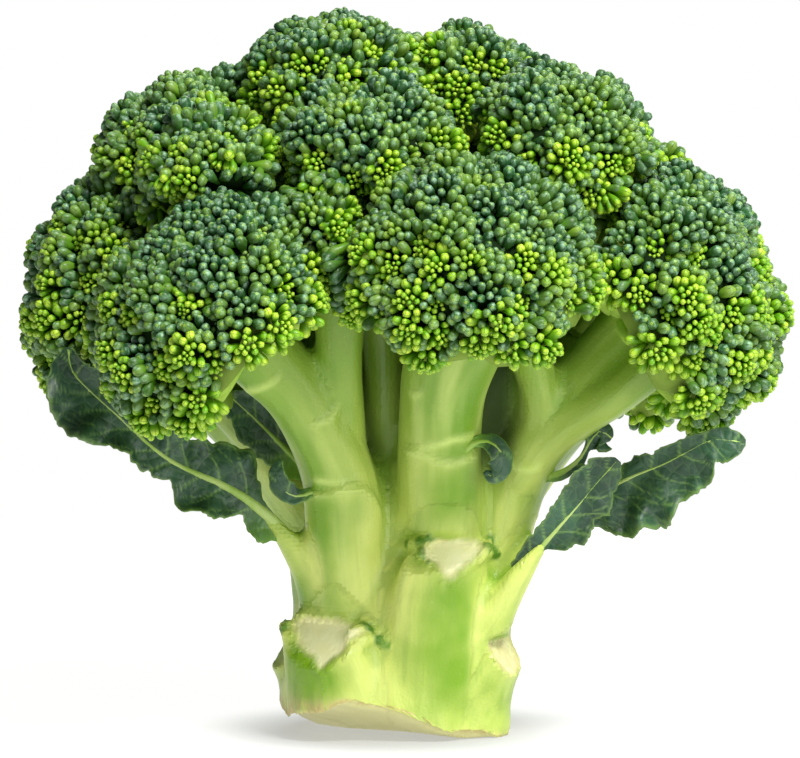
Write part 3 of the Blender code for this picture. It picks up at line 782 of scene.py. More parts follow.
# Widths of a bud: in the middle of an old rosette, of a young one, and at a rosette's edge
BUD_SMALL = 1.5
BUD_YOUNGEST = 0.8
BUD_LARGE = 2.45
YOUNG_GROWN_LESS = 0.16
BUD_STANDS = 0.66
BUD_SQUEEZE = 0.40
GAP_BETWEEN_BUDS = 1.5
GAP_BUDS_APART = 1.7
GAP_DEPTH = 2.5
GAP_BUD_SUNK = 0.25
GAP_BUD_FILL = 1.12
GAP_BUD_SMALL = 1.3
FREE_FOR_GAPS = 0.86
GAPS_ABOVE_RIM = 0.03
GOLDEN_TURN = math.pi * (3 - math.sqrt(5))


def dome_skin(name, ways):
    """A floret's skin along these directions: its points, how free of neighbours, and how high."""
    centre, faces, across, deep = FLORETS[name]
    along = ways @ unit(np.array(faces, float))
    sideways = np.sqrt(np.maximum(0.0, 1.0 - along**2))
    full = DOME_FULLNESS
    own = ((sideways / across) ** full + np.abs(along / deep) ** full) ** (1 / full)
    under = np.maximum(0.0, -along) / (deep * UNDERSIDE)
    pressed = np.zeros(len(ways))
    total = own**PRESS_SHARPNESS + under**PRESS_SHARPNESS
    for other, (other_centre, _, other_across, _) in FLORETS.items():
        if other == name:
            continue
        apart = np.array(other_centre, float) - np.array(centre, float)
        distance = np.linalg.norm(apart)
        share = (distance**2 + across**2 - other_across**2) / (2 * distance)
        pull = np.maximum(0.0, ways @ (apart / distance)) / (share + FLORET_OVERLAP / 2)
        pressed = np.maximum(pressed, pull)
        total += pull**PRESS_SHARPNESS
    reach = 1 / total ** (1 / PRESS_SHARPNESS)
    free = own / np.maximum(pressed, 1e-6)
    return np.array(centre, float) + ways * reach[:, None], free, along


def side_ways(ways):
    """Two directions square to each way and to each other."""
    helper = np.where(np.abs(ways[:, 2:]) < 0.9, [[0.0, 0.0, 1.0]], [[1.0, 0.0, 0.0]])
    first = unit(np.cross(ways, helper))
    return first, np.cross(ways, first)


def skin_outwards(name, ways):
    """The way the skin faces along each direction."""
    first, second = side_ways(ways)
    aside = (first, -first, second, -second)
    run = [dome_skin(name, unit(ways + STEP_ASIDE * turn))[0] for turn in aside]
    outwards = unit(np.cross(run[0] - run[1], run[2] - run[3]))
    return outwards * np.sign(np.sum(outwards * ways, axis=1))[:, None]


def scatter(points, apart, rng):
    """Picks points at random so that no two are closer than their own distance apart."""
    order = rng.permutation(len(points))
    picked = []
    for index in order:
        if all(np.sum((points[index] - points[other]) ** 2) > apart[index] ** 2 for other in picked):
            picked.append(index)
    return np.array(picked)


def nearest_two(points, centres):
    """For each point its nearest centre, and its distances to that one and the next nearest."""
    distances = np.linalg.norm(points[:, None] - centres[None], axis=2)
    order = np.argsort(distances, axis=1)[:, :2]
    rows = np.arange(len(points))
    return order[:, 0], distances[rows, order[:, 0]], distances[rows, order[:, 1]]


def even_ways(count):
    """Directions spread evenly all round."""
    index = np.arange(count) + 0.5
    height = 1 - 2 * index / count
    around = np.sqrt(1 - height**2)
    turn = GOLDEN_TURN * index
    return np.stack([around * np.cos(turn), around * np.sin(turn), height], axis=1)


def rim_height(name, ways):
    """How far down a dome's side its buds reach: an uneven rim, as a share of the dome's radius."""
    around = np.arctan2(ways[:, 1], ways[:, 0])
    turn = FLORETS[name][0][0]
    rim = RIM_LOW
    for depth, waves, shift in RIM_WAVES:
        rim = rim + depth * np.sin(waves * around + shift * turn)
    for rise, start, end in RIMS.get(name, []):
        rim = rim + rise * smooth(start, end, ways[:, 0]) * smooth(*HANGS, ways[:, 2])
    return rim


def grow_rosettes(name, rng):
    """Where a floret's rosettes sit: on small lumps, with clefts between the lumps."""
    ways = even_ways(SKIN_SAMPLES)
    skin, free, along = dome_skin(name, ways)
    bare = (free > FREE_OF_NEIGHBOURS) & (along > rim_height(name, ways))
    ways, skin, free, along = ways[bare], skin[bare], free[bare], along[bare]
    outwards = skin_outwards(name, ways)
    lumps = scatter(skin, LUMP_APART * rng.uniform(0.75, 1.2, len(skin)), rng)
    spacing = ROSETTE_APART * rng.uniform(0.82, 1.16, len(skin))
    seats = scatter(skin, spacing, rng)
    lump, near, far = nearest_two(skin[seats], skin[lumps])
    middle = smooth(0.0, 0.55, (far - near) / (far + near))
    lean = unit(skin[seats] - skin[lumps][lump] + 1e-6) * (1 - middle)[:, None]
    ways_out = unit(outwards[seats] + 0.75 * lean + rng.normal(0, 0.06, (len(seats), 3)))
    drop = LUMP_DEPTH * (1 - middle) + rng.uniform(0.0, 0.9, len(seats))
    places = skin[seats] - outwards[seats] * drop[:, None]
    hanging = smooth(0.55, -0.10, ways_out[:, 2])
    beside = smooth(1.25, 0.9, free[seats])
    patch = np.array([noise.noise(Vector(place) / PATCH_SIZE) for place in places])
    youth = 1.5 * hanging + 0.2 * beside + 0.8 * patch + rng.normal(0, 0.16, len(seats))
    splay = 0.8 * smooth(0.45, 0.0, along[seats]) * smooth(0.6, -0.2, ways_out[:, 2])
    return places, ways_out, np.clip(youth, 0, 1), np.clip(splay + 0.12 * beside, 0, 1)


def grow_buds(name, rng):
    """Every bud of a floret: its place, the way it points, its width, and how young it is."""
    places, outwards, youth, splay = grow_rosettes(name, rng)
    first, second = side_ways(outwards)
    found = {"place": [], "faces": [], "width": [], "long": [], "young": [], "rosette": []}
    order = np.arange(ROSETTE_BUDS)
    for index, place in enumerate(places):
        young = youth[index]
        small = BUD_SMALL + (BUD_YOUNGEST - BUD_SMALL) * young
        grown = (order / (GROWN_AFTER + GROWN_LATER * young)).clip(0, 1) ** 0.8
        widths = small + (BUD_LARGE * (1 - YOUNG_GROWN_LESS * young) - small) * grown
        widths = widths * rng.uniform(0.92, 1.06) * rng.uniform(0.74, 1.14, ROSETTE_BUDS)
        out = np.sqrt(np.cumsum(widths**2) * ROSETTE_FILL)
        turn = GOLDEN_TURN * order + rng.uniform(0, math.tau)
        turn = turn + rng.normal(0, 0.10, ROSETTE_BUDS)
        dome = ROSETTE_DOME + (RIM_ROSETTE_DOME - ROSETTE_DOME) * max(splay[index], 0.35 * young)
        angle = np.minimum(out / (dome - BUD_STANDS * widths), ROSETTE_REACH)
        radial = first[index] * np.cos(turn)[:, None] + second[index] * np.sin(turn)[:, None]
        middle = place - outwards[index] * dome
        ways = outwards[index] * np.cos(angle)[:, None] + radial * np.sin(angle)[:, None]
        lift = dome - BUD_STANDS * widths + rng.normal(0, 0.2, ROSETTE_BUDS)
        fade = np.clip(1 - out / (YOUNG_REACH + YOUNG_REACH_MORE * young), 0, 1)
        found["place"].append(middle + ways * lift[:, None])
        found["faces"].append(unit(ways + rng.normal(0, 0.10, (ROSETTE_BUDS, 3))))
        found["width"].append(widths)
        found["long"].append(rng.uniform(1.05, 1.3, ROSETTE_BUDS) + 0.36 * splay[index] * grown)
        found["young"].append(np.clip(fade * (0.14 + 0.95 * young) + 0.82 * young**1.25, 0, 1))
        found["rosette"].append(np.full(ROSETTE_BUDS, index))
    buds = {key: np.concatenate(rows) for key, rows in found.items()}
    keep = nearest_two(buds["place"], places)[0] == buds["rosette"]
    buds = fill_gaps(name, thin_out({key: rows[keep] for key, rows in buds.items()}), rng)
    return buds, places, outwards


def fill_gaps(name, buds, rng):
    """Sets single buds into the gaps that the rosettes leave between them."""
    ways = even_ways(3 * SKIN_SAMPLES)
    skin, free, along = dome_skin(name, ways)
    bare = (free > FREE_FOR_GAPS) & (along > rim_height(name, ways) + GAPS_ABOVE_RIM)
    ways, skin = ways[bare], skin[bare]
    outwards = skin_outwards(name, ways)
    tree = search_tree(buds["place"])
    seats, wide = [], []
    for point, out in zip(skin, outwards):
        found = [index for _, index, _ in tree.find_n(point - out * GAP_DEPTH, 4)]
        depth = np.mean((point - buds["place"][found]) @ out)
        seat = point - out * (depth + GAP_BUD_SUNK)
        seats.append(seat)
        wide.append(np.min(np.linalg.norm(buds["place"][found] - seat, axis=1)))
    seats, wide = np.array(seats), np.array(wide)
    empty = wide > GAP_BETWEEN_BUDS
    seats, wide, outwards = seats[empty], wide[empty], outwards[empty]
    if not len(seats):
        return buds
    order = np.argsort(-wide)
    seats, wide, outwards = seats[order], wide[order], outwards[order]
    kept = []
    for index, seat in enumerate(seats):
        if all(np.linalg.norm(seat - seats[other]) > GAP_BUDS_APART for other in kept):
            kept.append(index)
    count = len(kept)
    extra = {
        "place": seats[kept],
        "faces": unit(outwards[kept] + rng.normal(0, 0.22, (count, 3))),
        "width": np.clip(wide[kept] * GAP_BUD_FILL, GAP_BUD_SMALL, BUD_LARGE),
        "long": rng.uniform(1.05, 1.4, count),
        "young": rng.uniform(0.0, 0.3, count),
        "rosette": np.full(count, -1),
    }
    return {key: np.concatenate([rows, extra[key]]) for key, rows in buds.items()}


def thin_out(buds):
    """Drops a bud that would stand inside one that is already there."""
    tree = search_tree(buds["place"])
    gone = np.zeros(len(buds["place"]), bool)
    for index, place in enumerate(buds["place"]):
        if gone[index]:
            continue
        for _, other, distance in tree.find_range(place, BUD_LARGE):
            if other == index or gone[other]:
                continue
            room = BUD_SQUEEZE * (buds["width"][index] + buds["width"][other])
            if distance < room:
                gone[other if buds["width"][other] < buds["width"][index] else index] = True
                if gone[index]:
                    break
    return {key: rows[~gone] for key, rows in buds.items()}


# One bud, one wide and standing on the origin: four sepals folded shut over a stem
BUD_SIDES = 8
# Its profile from the stem up: radius, height, and how far up the skin that is
BUD_PROFILE = [
    (0.15, -1.30, 0.0), (0.42, -0.20, 0.33), (0.51, 0.18, 0.50), (0.44, 0.52, 0.67), (0.21, 0.70, 0.83),
]
BUD_TIP = 0.70
SEPALS = 4
SEPAL_FOLD = 0.035
STEM_BELOW = -0.5
# The buds' greens, from dull to bright, and the colours of their bloom with its painted highlight,
# stem, seams, star and pore, then the twigs' greens and their painted shade
MATURE_GREENS = (plant_colour(10, 54, 20), plant_colour(48, 103, 52))
TENDER_GREENS = (plant_colour(118, 182, 0), plant_colour(208, 238, 60))
BLOOM_GREY = plant_colour(164, 206, 170)
STEM_END_GREEN = plant_colour(86, 146, 8)
CROWN_GREEN = plant_colour(122, 178, 60)
SEAM_DARK = plant_colour(22, 48, 16)
STAR_YELLOW = plant_colour(186, 208, 84)
PORE_DARK = plant_colour(24, 40, 8)
TWIG_GREENS = (plant_colour(150, 190, 66), plant_colour(190, 218, 104))
TWIG_DARK = plant_colour(14, 34, 3)


def make_bud():
    """The bud that every floret is covered with, its UV map running round it and up it."""
    shape = bmesh.new()
    unwrapped = shape.loops.layers.uv.new("UVMap")
    rings = []
    for radius, height, _ in BUD_PROFILE:
        ring = []
        for side in range(BUD_SIDES):
            turn = math.tau * side / BUD_SIDES
            wave = math.cos(SEPALS * turn) * (height > STEM_BELOW)
            fold = radius * (1 + SEPAL_FOLD * wave)
            ring.append(shape.verts.new((fold * math.cos(turn), fold * math.sin(turn), height)))
        rings.append(ring)
    tip = shape.verts.new((0, 0, BUD_TIP))
    shown = [up for *_, up in BUD_PROFILE]
    for level, (low, high) in enumerate(zip(rings, rings[1:])):
        for side in range(BUD_SIDES):
            after = (side + 1) % BUD_SIDES
            face = shape.faces.new((low[side], low[after], high[after], high[side]))
            corners = ((side, level), (side + 1, level), (side + 1, level + 1), (side, level + 1))
            for loop, (u, v) in zip(face.loops, corners):
                loop[unwrapped].uv = (u / BUD_SIDES, shown[v])
    for side in range(BUD_SIDES):
        after = (side + 1) % BUD_SIDES
        face = shape.faces.new((rings[-1][side], rings[-1][after], tip))
        corners = ((side, shown[-1]), (side + 1, shown[-1]), (side + 0.5, 1.0))
        for loop, (u, v) in zip(face.loops, corners):
            loop[unwrapped].uv = (u / BUD_SIDES, v)
    shape.faces.new(rings[0][::-1])
    for face in shape.faces:
        face.smooth = True
    mesh = bpy.data.meshes.new("one_bud")
    shape.to_mesh(mesh)
    shape.free()
    return bpy.data.objects.new("one_bud", mesh)


def bud_tree():
    """Sets a bud on every point: its stem along `faces`, as wide as `size`, turned by `spin`."""
    tree = bpy.data.node_groups.new("buds_on_rosettes", "GeometryNodeTree")
    tree.is_modifier = True
    tree.interface.new_socket("Geometry", in_out="OUTPUT", socket_type="NodeSocketGeometry")
    tree.interface.new_socket("Geometry", in_out="INPUT", socket_type="NodeSocketGeometry")
    tree.interface.new_socket("Bud", in_out="INPUT", socket_type="NodeSocketObject")
    tree.interface.new_socket("Skin", in_out="INPUT", socket_type="NodeSocketMaterial")
    node = tree.nodes.new
    link = tree.links.new
    given = node("NodeGroupInput")
    made = node("NodeGroupOutput")
    bud = node("GeometryNodeObjectInfo")
    read = {}
    for name, kind in (("faces", "FLOAT_VECTOR"), ("size", "FLOAT_VECTOR"), ("spin", "FLOAT")):
        read[name] = node("GeometryNodeInputNamedAttribute")
        read[name].data_type = kind
        read[name].inputs["Name"].default_value = name
    upright = node("FunctionNodeAlignRotationToVector")
    upright.axis = "Z"
    spin = node("FunctionNodeAxisAngleToRotation")
    spin.inputs["Axis"].default_value = (0, 0, 1)
    turned = node("FunctionNodeRotateRotation")
    turned.rotation_space = "LOCAL"
    stand = node("GeometryNodeInstanceOnPoints")
    real = node("GeometryNodeRealizeInstances")
    skin = node("GeometryNodeSetMaterial")
    link(given.outputs["Geometry"], stand.inputs["Points"])
    link(given.outputs["Bud"], bud.inputs["Object"])
    link(bud.outputs["Geometry"], stand.inputs["Instance"])
    link(read["faces"].outputs["Attribute"], upright.inputs["Vector"])
    link(read["spin"].outputs["Attribute"], spin.inputs["Angle"])
    link(upright.outputs["Rotation"], turned.inputs["Rotation"])
    link(spin.outputs["Rotation"], turned.inputs["Rotate By"])
    link(turned.outputs["Rotation"], stand.inputs["Rotation"])
    link(read["size"].outputs["Attribute"], stand.inputs["Scale"])
    link(stand.outputs["Instances"], real.inputs["Geometry"])
    link(real.outputs["Geometry"], skin.inputs["Geometry"])
    link(given.outputs["Skin"], skin.inputs["Material"])
    link(skin.outputs["Geometry"], made.inputs["Geometry"])
    return tree


def bud_skin(put):
    """Blue green skin with a waxy bloom that pales towards the tip as a painted highlight, folded along
    four seams to a yellow green tip.
    """
    maths, blend, ramp, read, speckle = mixing(put)
    young = read("young")
    tone = read("tone")
    shown = put("SeparateXYZ", {"Vector": put("UVMap", uv_map="UVMap").outputs["UV"]}).outputs
    around, height = shown["X"], shown["Y"]
    place = put("TexCoord").outputs["Object"]
    bloom = speckle(place, 900.0, 3.0)
    patch = speckle(place, 60.0, 2.0)

    uneven = maths("MULTIPLY", maths("SUBTRACT", patch, 0.5), 0.4)
    youth = maths("ADD", young, uneven, clamp=True)
    body = blend(youth, blend(tone, *MATURE_GREENS), blend(tone, *TENDER_GREENS))
    # Waxy bloom, stronger towards the tip as a painted highlight
    waxy = maths("MULTIPLY", ramp(bloom, 0.42, 0.70), maths("SUBTRACT", 0.70, youth, clamp=True))
    body = blend(maths("MULTIPLY", waxy, ramp(height, 0.36, 0.74)), body, BLOOM_GREY)
    lower = ramp(maths("SUBTRACT", height, maths("MULTIPLY", youth, 0.30)), 0.20, 0.50)
    lower = maths("SUBTRACT", 1.0, lower, clamp=True)
    stem_end = maths("MULTIPLY", lower, maths("ADD", 0.34, maths("MULTIPLY", youth, 0.6)))
    body = blend(stem_end, body, STEM_END_GREEN)
    ridges = maths("COSINE", maths("MULTIPLY", around, SEPALS * math.tau))
    seam = maths("MULTIPLY", ridges, -1.0)
    crown = maths("MULTIPLY", ramp(height, 0.70, 0.86), ramp(seam, -0.9, 0.4))
    body = blend(maths("MULTIPLY", crown, 0.5), body, CROWN_GREEN)
    fold = maths("MULTIPLY", ramp(seam, 0.7, 1.0), ramp(height, 0.45, 0.70))
    body = blend(maths("MULTIPLY", fold, 0.55), body, SEAM_DARK)
    body = blend(maths("MULTIPLY", ramp(height, 0.89, 0.93), 0.6), body, STAR_YELLOW)
    body = blend(maths("MULTIPLY", ramp(height, 0.955, 0.975), 0.9), body, PORE_DARK)
    bump = put("Bump", {"Strength": 0.25, "Distance": 0.0002, "Height": bloom})
    return {
        "Base Color": body,
        "Roughness": 0.42,
        "Normal": bump.outputs["Normal"],
        "Specular IOR Level": 0.45,
    }


def twig_skin(put):
    """Pale yellow green flesh of the twigs under the buds, and painted shade on the floret's middle,
    read as deep.
    """
    _, blend, _, read, speckle = mixing(put)
    grain = speckle(put("TexCoord").outputs["Object"], 260.0, 4.0)
    bump = put("Bump", {"Strength": 0.4, "Distance": 0.0004, "Height": grain})
    return {
        "Base Color": blend(read("deep"), blend(grain, *TWIG_GREENS), TWIG_DARK),
        "Roughness": 0.8,
        "Specular IOR Level": 0.1,
        "Normal": bump.outputs["Normal"],
    }


# The flesh inside a floret: how deep under its skin it lies, how far down it reaches, and its rim
CORE_FINENESS = 4
CORE_DEPTH = 5.4
CORE_UNDERSIDE = 0.16
RIM_DRAWN_IN = 2.0
TWIGS_UP_TO = 0.55
TWIG_RADII = [2.4, 1.8, 1.3]
TWIG_SHORT = 2.2
TWIG_SAG = 2.5


def make_flesh(name, places, outwards, material):
    """The floret's fleshy middle, and the twigs from its branch to the rosettes round its rim."""
    centre, faces, _, deep = FLORETS[name]
    up = unit(np.array(faces, float))
    middle = np.array(centre, float)
    shape = bmesh.new()
    bmesh.ops.create_icosphere(shape, subdivisions=CORE_FINENESS, radius=1.0)
    ways = unit(np.array([vertex.co for vertex in shape.verts]))
    skin = dome_skin(name, ways)[0]
    rim = rim_height(name, ways)
    reach = np.linalg.norm(skin - middle, axis=1)
    along = ways @ up
    hangs = smooth(*HANGS, ways[:, 2])
    floor = deep * CORE_UNDERSIDE / np.maximum(-along, 1e-3)
    reach = np.minimum(reach - CORE_DEPTH, np.where(along < 0, floor, 1e3))
    level = deep * (rim - CORE_UNDERSIDE)
    reach = reach - RIM_DRAWN_IN * smooth(0, 2, level - reach * along) * hangs
    lift = np.maximum(level - reach * along, 0) * hangs
    for vertex, point in zip(shape.verts, middle + ways * reach[:, None] + up * lift[:, None]):
        vertex.co = point
    core_points = len(shape.verts)
    root = middle - up * deep * UNDERSIDE * 0.95
    low = ((places - middle) @ up) / deep < TWIGS_UP_TO
    for place, out in zip(places[low], outwards[low]):
        end = place - out * TWIG_SHORT
        bend = 0.45 * root + 0.55 * end - up * TWIG_SAG
        add_tube(shape, [root, bend, end], TWIG_RADII, 8, 4)
    piece = add_piece(f"twigs_{name}", shape, material)
    # Painted shade on the floret's middle: half dark below the rim, fully dark under the buds
    depth = np.zeros(len(piece.data.vertices))
    depth[:core_points] = 0.5 + 0.5 * smooth(0.0, 0.12, along - rim)
    give(piece.data, "deep", "FLOAT", depth)
    return piece


bud = make_bud()
set_buds = bud_tree()
inputs = [item for item in set_buds.interface.items_tree if item.in_out == "INPUT"]
sockets = {item.name: item.identifier for item in inputs}
bud_material = dress("bud_skin", bud_skin)
twig_material = dress("twig_skin", twig_skin)
for number, floret in enumerate(FLORETS):
    rng = np.random.default_rng(4100 + number)
    buds, places, outwards = grow_buds(floret, rng)
    count = len(buds["place"])
    seats = bpy.data.meshes.new(f"buds_{floret}")
    seats.from_pydata([tuple(place) for place in buds["place"] / 1000], [], [])
    width = buds["width"] / 1000
    length = width * buds["long"]
    give(seats, "faces", "FLOAT_VECTOR", buds["faces"])
    give(seats, "size", "FLOAT_VECTOR", np.column_stack([width, width, length]))
    give(seats, "spin", "FLOAT", rng.uniform(0, math.tau, count))
    give(seats, "young", "FLOAT", buds["young"])
    give(seats, "tone", "FLOAT", np.clip(rng.normal(0.5, 0.25, count), 0, 1))
    cover = bpy.data.objects.new(f"buds_{floret}", seats)
    bpy.context.scene.collection.objects.link(cover)
    standing = cover.modifiers.new("buds", "NODES")
    standing.node_group = set_buds
    standing[sockets["Bud"]] = bud
    standing[sockets["Skin"]] = bud_material
    settle(cover)
    for waste in ("faces", "size", "spin"):
        cover.data.attributes.remove(cover.data.attributes[waste])
    flesh = make_flesh(floret, places, outwards, twig_material)
    for piece, finish in ((cover, "buds"), (flesh, "stalk_skin")):
        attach(piece, "root")
        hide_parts(f"floret_{floret}")


# ---------------------------------------------------------------------------------------------------
# Leaves. Seven thick waxy blue green blades with lobed, ruffled margins, each on a pale fleshy stalk
# that runs on as the midrib. The big ones grow from the foot of the trunk, and the curled ones clasp
# branches.
# ---------------------------------------------------------------------------------------------------

# For each leaf: its midrib, the way its blade faces, the width of its two sides as (share of the
# length, width), the radius of its stalk at the foot and at the tip, how deeply it is ruffled, and
# how deeply it is cupped
LEAVES = {
    "leaf_left": (
        [(-13, -8.5, 24), (-17.5, -12.6, 34), (-23.5, -16.5, 43.5), (-29, -18, 49), (-36, -19, 53.5),
         (-45, -19.6, 57.6), (-51, -20, 62), (-57.5, -20.2, 68), (-63, -20.4, 73),
         (-66.4, -20.5, 77), (-67.4, -20, 82)],
        (-0.35, -0.80, 0.50),
        [(0, 0.3), (0.24, 0.5), (0.32, 1.0), (0.37, 2.0), (0.40, 4.4), (0.44, 8.2), (0.50, 8.2),
         (0.58, 6.5), (0.68, 5.5), (0.78, 5.5), (0.88, 5.2), (0.95, 3.6), (1, 0.8)],
        [(0, 0.3), (0.22, 0.5), (0.26, 1.2), (0.30, 4.4), (0.35, 5.6), (0.39, 3.0), (0.43, 6.2),
         (0.49, 8.4), (0.55, 8.2), (0.59, 3.6), (0.65, 5.8), (0.70, 4.0), (0.76, 6.6),
         (0.83, 10.0), (0.89, 9.4), (0.95, 5.5), (1, 0.8)],
        (2.8, 0.3), 2.0, 0.10,
    ),
    "leaf_right": (
        [(15, -6, 24), (28, -12, 39.0), (36, -14, 47.5), (46.8, -17.5, 54.1), (54.7, -20.5, 57.7),
         (60.3, -22.5, 60.8), (65, -24, 63.1), (71.5, -25, 62.6)],
        (0.20, -0.93, 0.25),
        [(0, 0.3), (0.42, 0.6), (0.47, 5), (0.53, 9.5), (0.58, 11.5), (0.64, 11), (0.69, 12.8),
         (0.73, 11), (0.76, 8.4), (0.80, 8.6), (0.86, 7.0), (0.91, 4.6), (0.96, 4.4), (0.99, 2.6),
         (1, 0.6)],
        [(0, 0.3), (0.42, 0.6), (0.48, 4.5), (0.54, 6.8), (0.59, 5.0), (0.63, 3.0), (0.70, 3.6),
         (0.80, 3.0), (0.88, 2.5), (0.94, 2.8), (0.98, 2.2), (1, 0.6)],
        (2.4, 0.25), 1.6, 0.06,
    ),
    "leaf_right_small": (
        [(16, -10.5, 20), (26.0, -18, 35.5), (31.5, -20.5, 42.5), (37, -22, 49),
         (41.5, -22.5, 54.5), (45.5, -23, 59)],
        (0.30, -0.90, 0.30),
        [(0, 0.3), (0.48, 0.4), (0.54, 1.4), (0.59, 4.6), (0.65, 5.6), (0.74, 5.6), (0.84, 5.2),
         (0.93, 3.8), (1, 0.8)],
        [(0, 0.3), (0.32, 0.4), (0.38, 2.6), (0.55, 3.4), (0.66, 3.6), (0.76, 4.6), (0.86, 5.2),
         (0.94, 4.2), (1, 0.8)],
        (2.8, 0.25), 1.2, 0.14,
    ),
    "bract_right": (
        [(28, -10, 53.5), (31, -12.5, 54.4), (34.5, -13.8, 55.6), (38, -14.5, 58.5),
         (40.2, -14.5, 62.2), (42.2, -14.3, 64.2), (44.6, -14, 62.6)],
        (0.30, -0.90, 0.20),
        [(0, 0.5), (0.3, 1.5), (0.55, 1.4), (0.66, 0.8), (0.74, 3.4), (0.84, 4.6), (0.93, 3.8),
         (1, 0.8)],
        [(0, 0.3), (0.55, 0.4), (0.68, 0.5), (0.78, 1.6), (0.88, 2.4), (0.95, 2.0), (1, 0.6)],
        (1.3, 0.3), 0.5, 0.10,
    ),
    "curl_front": (
        [(13.4, -25.6, 60.6), (16.0, -26.8, 62.8), (19.0, -27.6, 63.0), (21.6, -28.0, 60.6),
         (21.6, -28.2, 57.4), (19.6, -28.2, 55.8), (18.0, -28.0, 57.0)],
        (0.35, -0.85, 0.30),
        [(0, 0.3), (0.2, 0.9), (0.42, 2.2), (0.65, 3.0), (0.85, 2.6), (1, 0.6)],
        [(0, 0.3), (0.2, 1.2), (0.42, 2.4), (0.65, 2.3), (0.85, 1.6), (1, 0.4)],
        (1.0, 0.15), 0.5, -0.16,
    ),
    "curl_left": (
        [(-13.0, -20.6, 52.4), (-17.0, -22.0, 52.2), (-20.4, -23.0, 51.4), (-23.4, -23.4, 53.0),
         (-24.6, -23.4, 56.2), (-23.6, -23.2, 59.0)],
        (-0.35, -0.85, 0.30),
        [(0, 0.4), (0.25, 1.2), (0.6, 2.6), (0.85, 2.2), (1, 0.4)],
        [(0, 0.4), (0.25, 1.0), (0.6, 2.2), (0.85, 1.8), (1, 0.4)],
        (1.0, 0.15), 0.5, 0.16,
    ),
    "leaf_inner_left": (
        [(-17, -5, 54), (-23, -8, 60), (-29, -9.5, 66), (-35, -10, 71.5)],
        (-0.30, -0.85, 0.35),
        [(0, 1.0), (0.15, 4.5), (0.4, 5.6), (0.7, 5.4), (0.9, 3.8), (1, 0.8)],
        [(0, 1.0), (0.15, 4.0), (0.4, 5.4), (0.7, 5.2), (0.9, 3.4), (1, 0.8)],
        (1.5, 0.3), 0.6, 0.12,
    ),
}
LEAF_FINENESS = 0.52
BLADE_THICKNESS = 0.5
TEETH_APART = 1.3
LOBES_APART = 4.0
MARGIN_UNEVEN = 0.22
RUFFLE_SIZE = 5.5
PUCKER_SIZE = 2.3
PUCKER_DEPTH = 0.35
VEIN_DEPTH = 0.16
VEINS_FROM = 0.18
VEINS_APART = 6.2
VEIN_LEAN = 0.75
VEIN_CURVE = 0.02
VEIN_WAVER = 0.35
VEIN_WIDTH = 0.34
FORK_WIDTH = 0.18
FORK_LEAN = 0.9
FORKS_FROM = 3.2
# The blade's greens under its wax, and the paler colours of its net, veins, margin and stalk
BLADE_GREENS = (plant_colour(24, 56, 34), plant_colour(54, 92, 64))
WAX_GREY = plant_colour(104, 134, 112)
NET_GREEN = plant_colour(112, 150, 72)
VEIN_GREEN = plant_colour(128, 166, 86)
MARGIN_GREEN = plant_colour(128, 164, 70)
FOOT_GREEN = plant_colour(120, 166, 60)
RIB_GREENS = (plant_colour(140, 178, 60), plant_colour(182, 206, 118))


def leaf_skin(put):
    """Dark waxy blue green, puckered between yellow green veins, on a pale green stalk."""
    maths, blend, ramp, read, speckle = mixing(put)
    place = put("TexCoord").outputs["Object"]
    cells = {"Vector": read("flat", "Vector"), "Scale": 420.0, "Randomness": 0.9}
    net = put("TexVoronoi", cells, feature="DISTANCE_TO_EDGE").outputs["Distance"]
    mottle = speckle(place, 120.0, 4.0)
    fine = speckle(place, 900.0, 3.0)
    blade = blend(ramp(mottle, 0.3, 0.7), *BLADE_GREENS)
    blade = blend(maths("MULTIPLY", ramp(fine, 0.5, 0.8), 0.25), blade, WAX_GREY)
    threads = maths("MULTIPLY", maths("SUBTRACT", 1.0, ramp(net, 0.0, 0.08)), 0.16)
    blade = blend(threads, blade, NET_GREEN)
    blade = blend(maths("MULTIPLY", read("vein"), 0.62), blade, VEIN_GREEN)
    blade = blend(maths("MULTIPLY", read("margin"), 0.5), blade, MARGIN_GREEN)
    blade = blend(read("foot"), blade, FOOT_GREEN)
    blade = blend(read("rib"), blade, blend(ramp(mottle, 0.35, 0.65), *RIB_GREENS))
    puffed = maths("MULTIPLY", ramp(net, 0.0, 0.25), 0.5)
    height = maths("ADD", maths("MULTIPLY", fine, 0.3), puffed)
    bump = put("Bump", {"Strength": 0.5, "Distance": 0.0003, "Height": height})
    return {"Base Color": blade, "Roughness": 0.46, "Normal": bump.outputs["Normal"]}


def vein_shade(along, out, length, seed):
    """How much of a side vein lies at each point of a blade, from its places along and out."""
    rng = np.random.default_rng(seed)
    shade = np.zeros(along.shape)
    for side in (-1, 1):
        start = VEINS_FROM * length + rng.uniform(0, 3)
        while start < length:
            reach = out * side
            line = start + VEIN_LEAN * reach + VEIN_CURVE * reach**2
            line = line + VEIN_WAVER * np.sin(reach * 0.9 + start)
            width = np.clip(VEIN_WIDTH - 0.028 * reach, 0.10, 1)
            near = np.clip(1.25 - np.abs(along - line) * 0.8 / width, 0, 1) * (reach > 0)
            fading = np.clip(1.1 - 0.05 * reach, 0.3, 1)
            branch = line + 0.5 + (reach - 3.0) * FORK_LEAN
            forked = np.clip(1.1 - np.abs(along - branch) * 0.6 / FORK_WIDTH, 0, 1)
            forked = forked * (reach > FORKS_FROM) * 0.7
            shade = np.maximum(shade, np.maximum(near * fading, forked))
            start += VEINS_APART * rng.uniform(0.75, 1.25)
    return shade


def unevenness(along, size, *rest):
    """Smooth chance values along a line, one every so many millimetres, for this side and leaf."""
    return np.array([noise.noise(Vector((place / size, *rest))) for place in along])


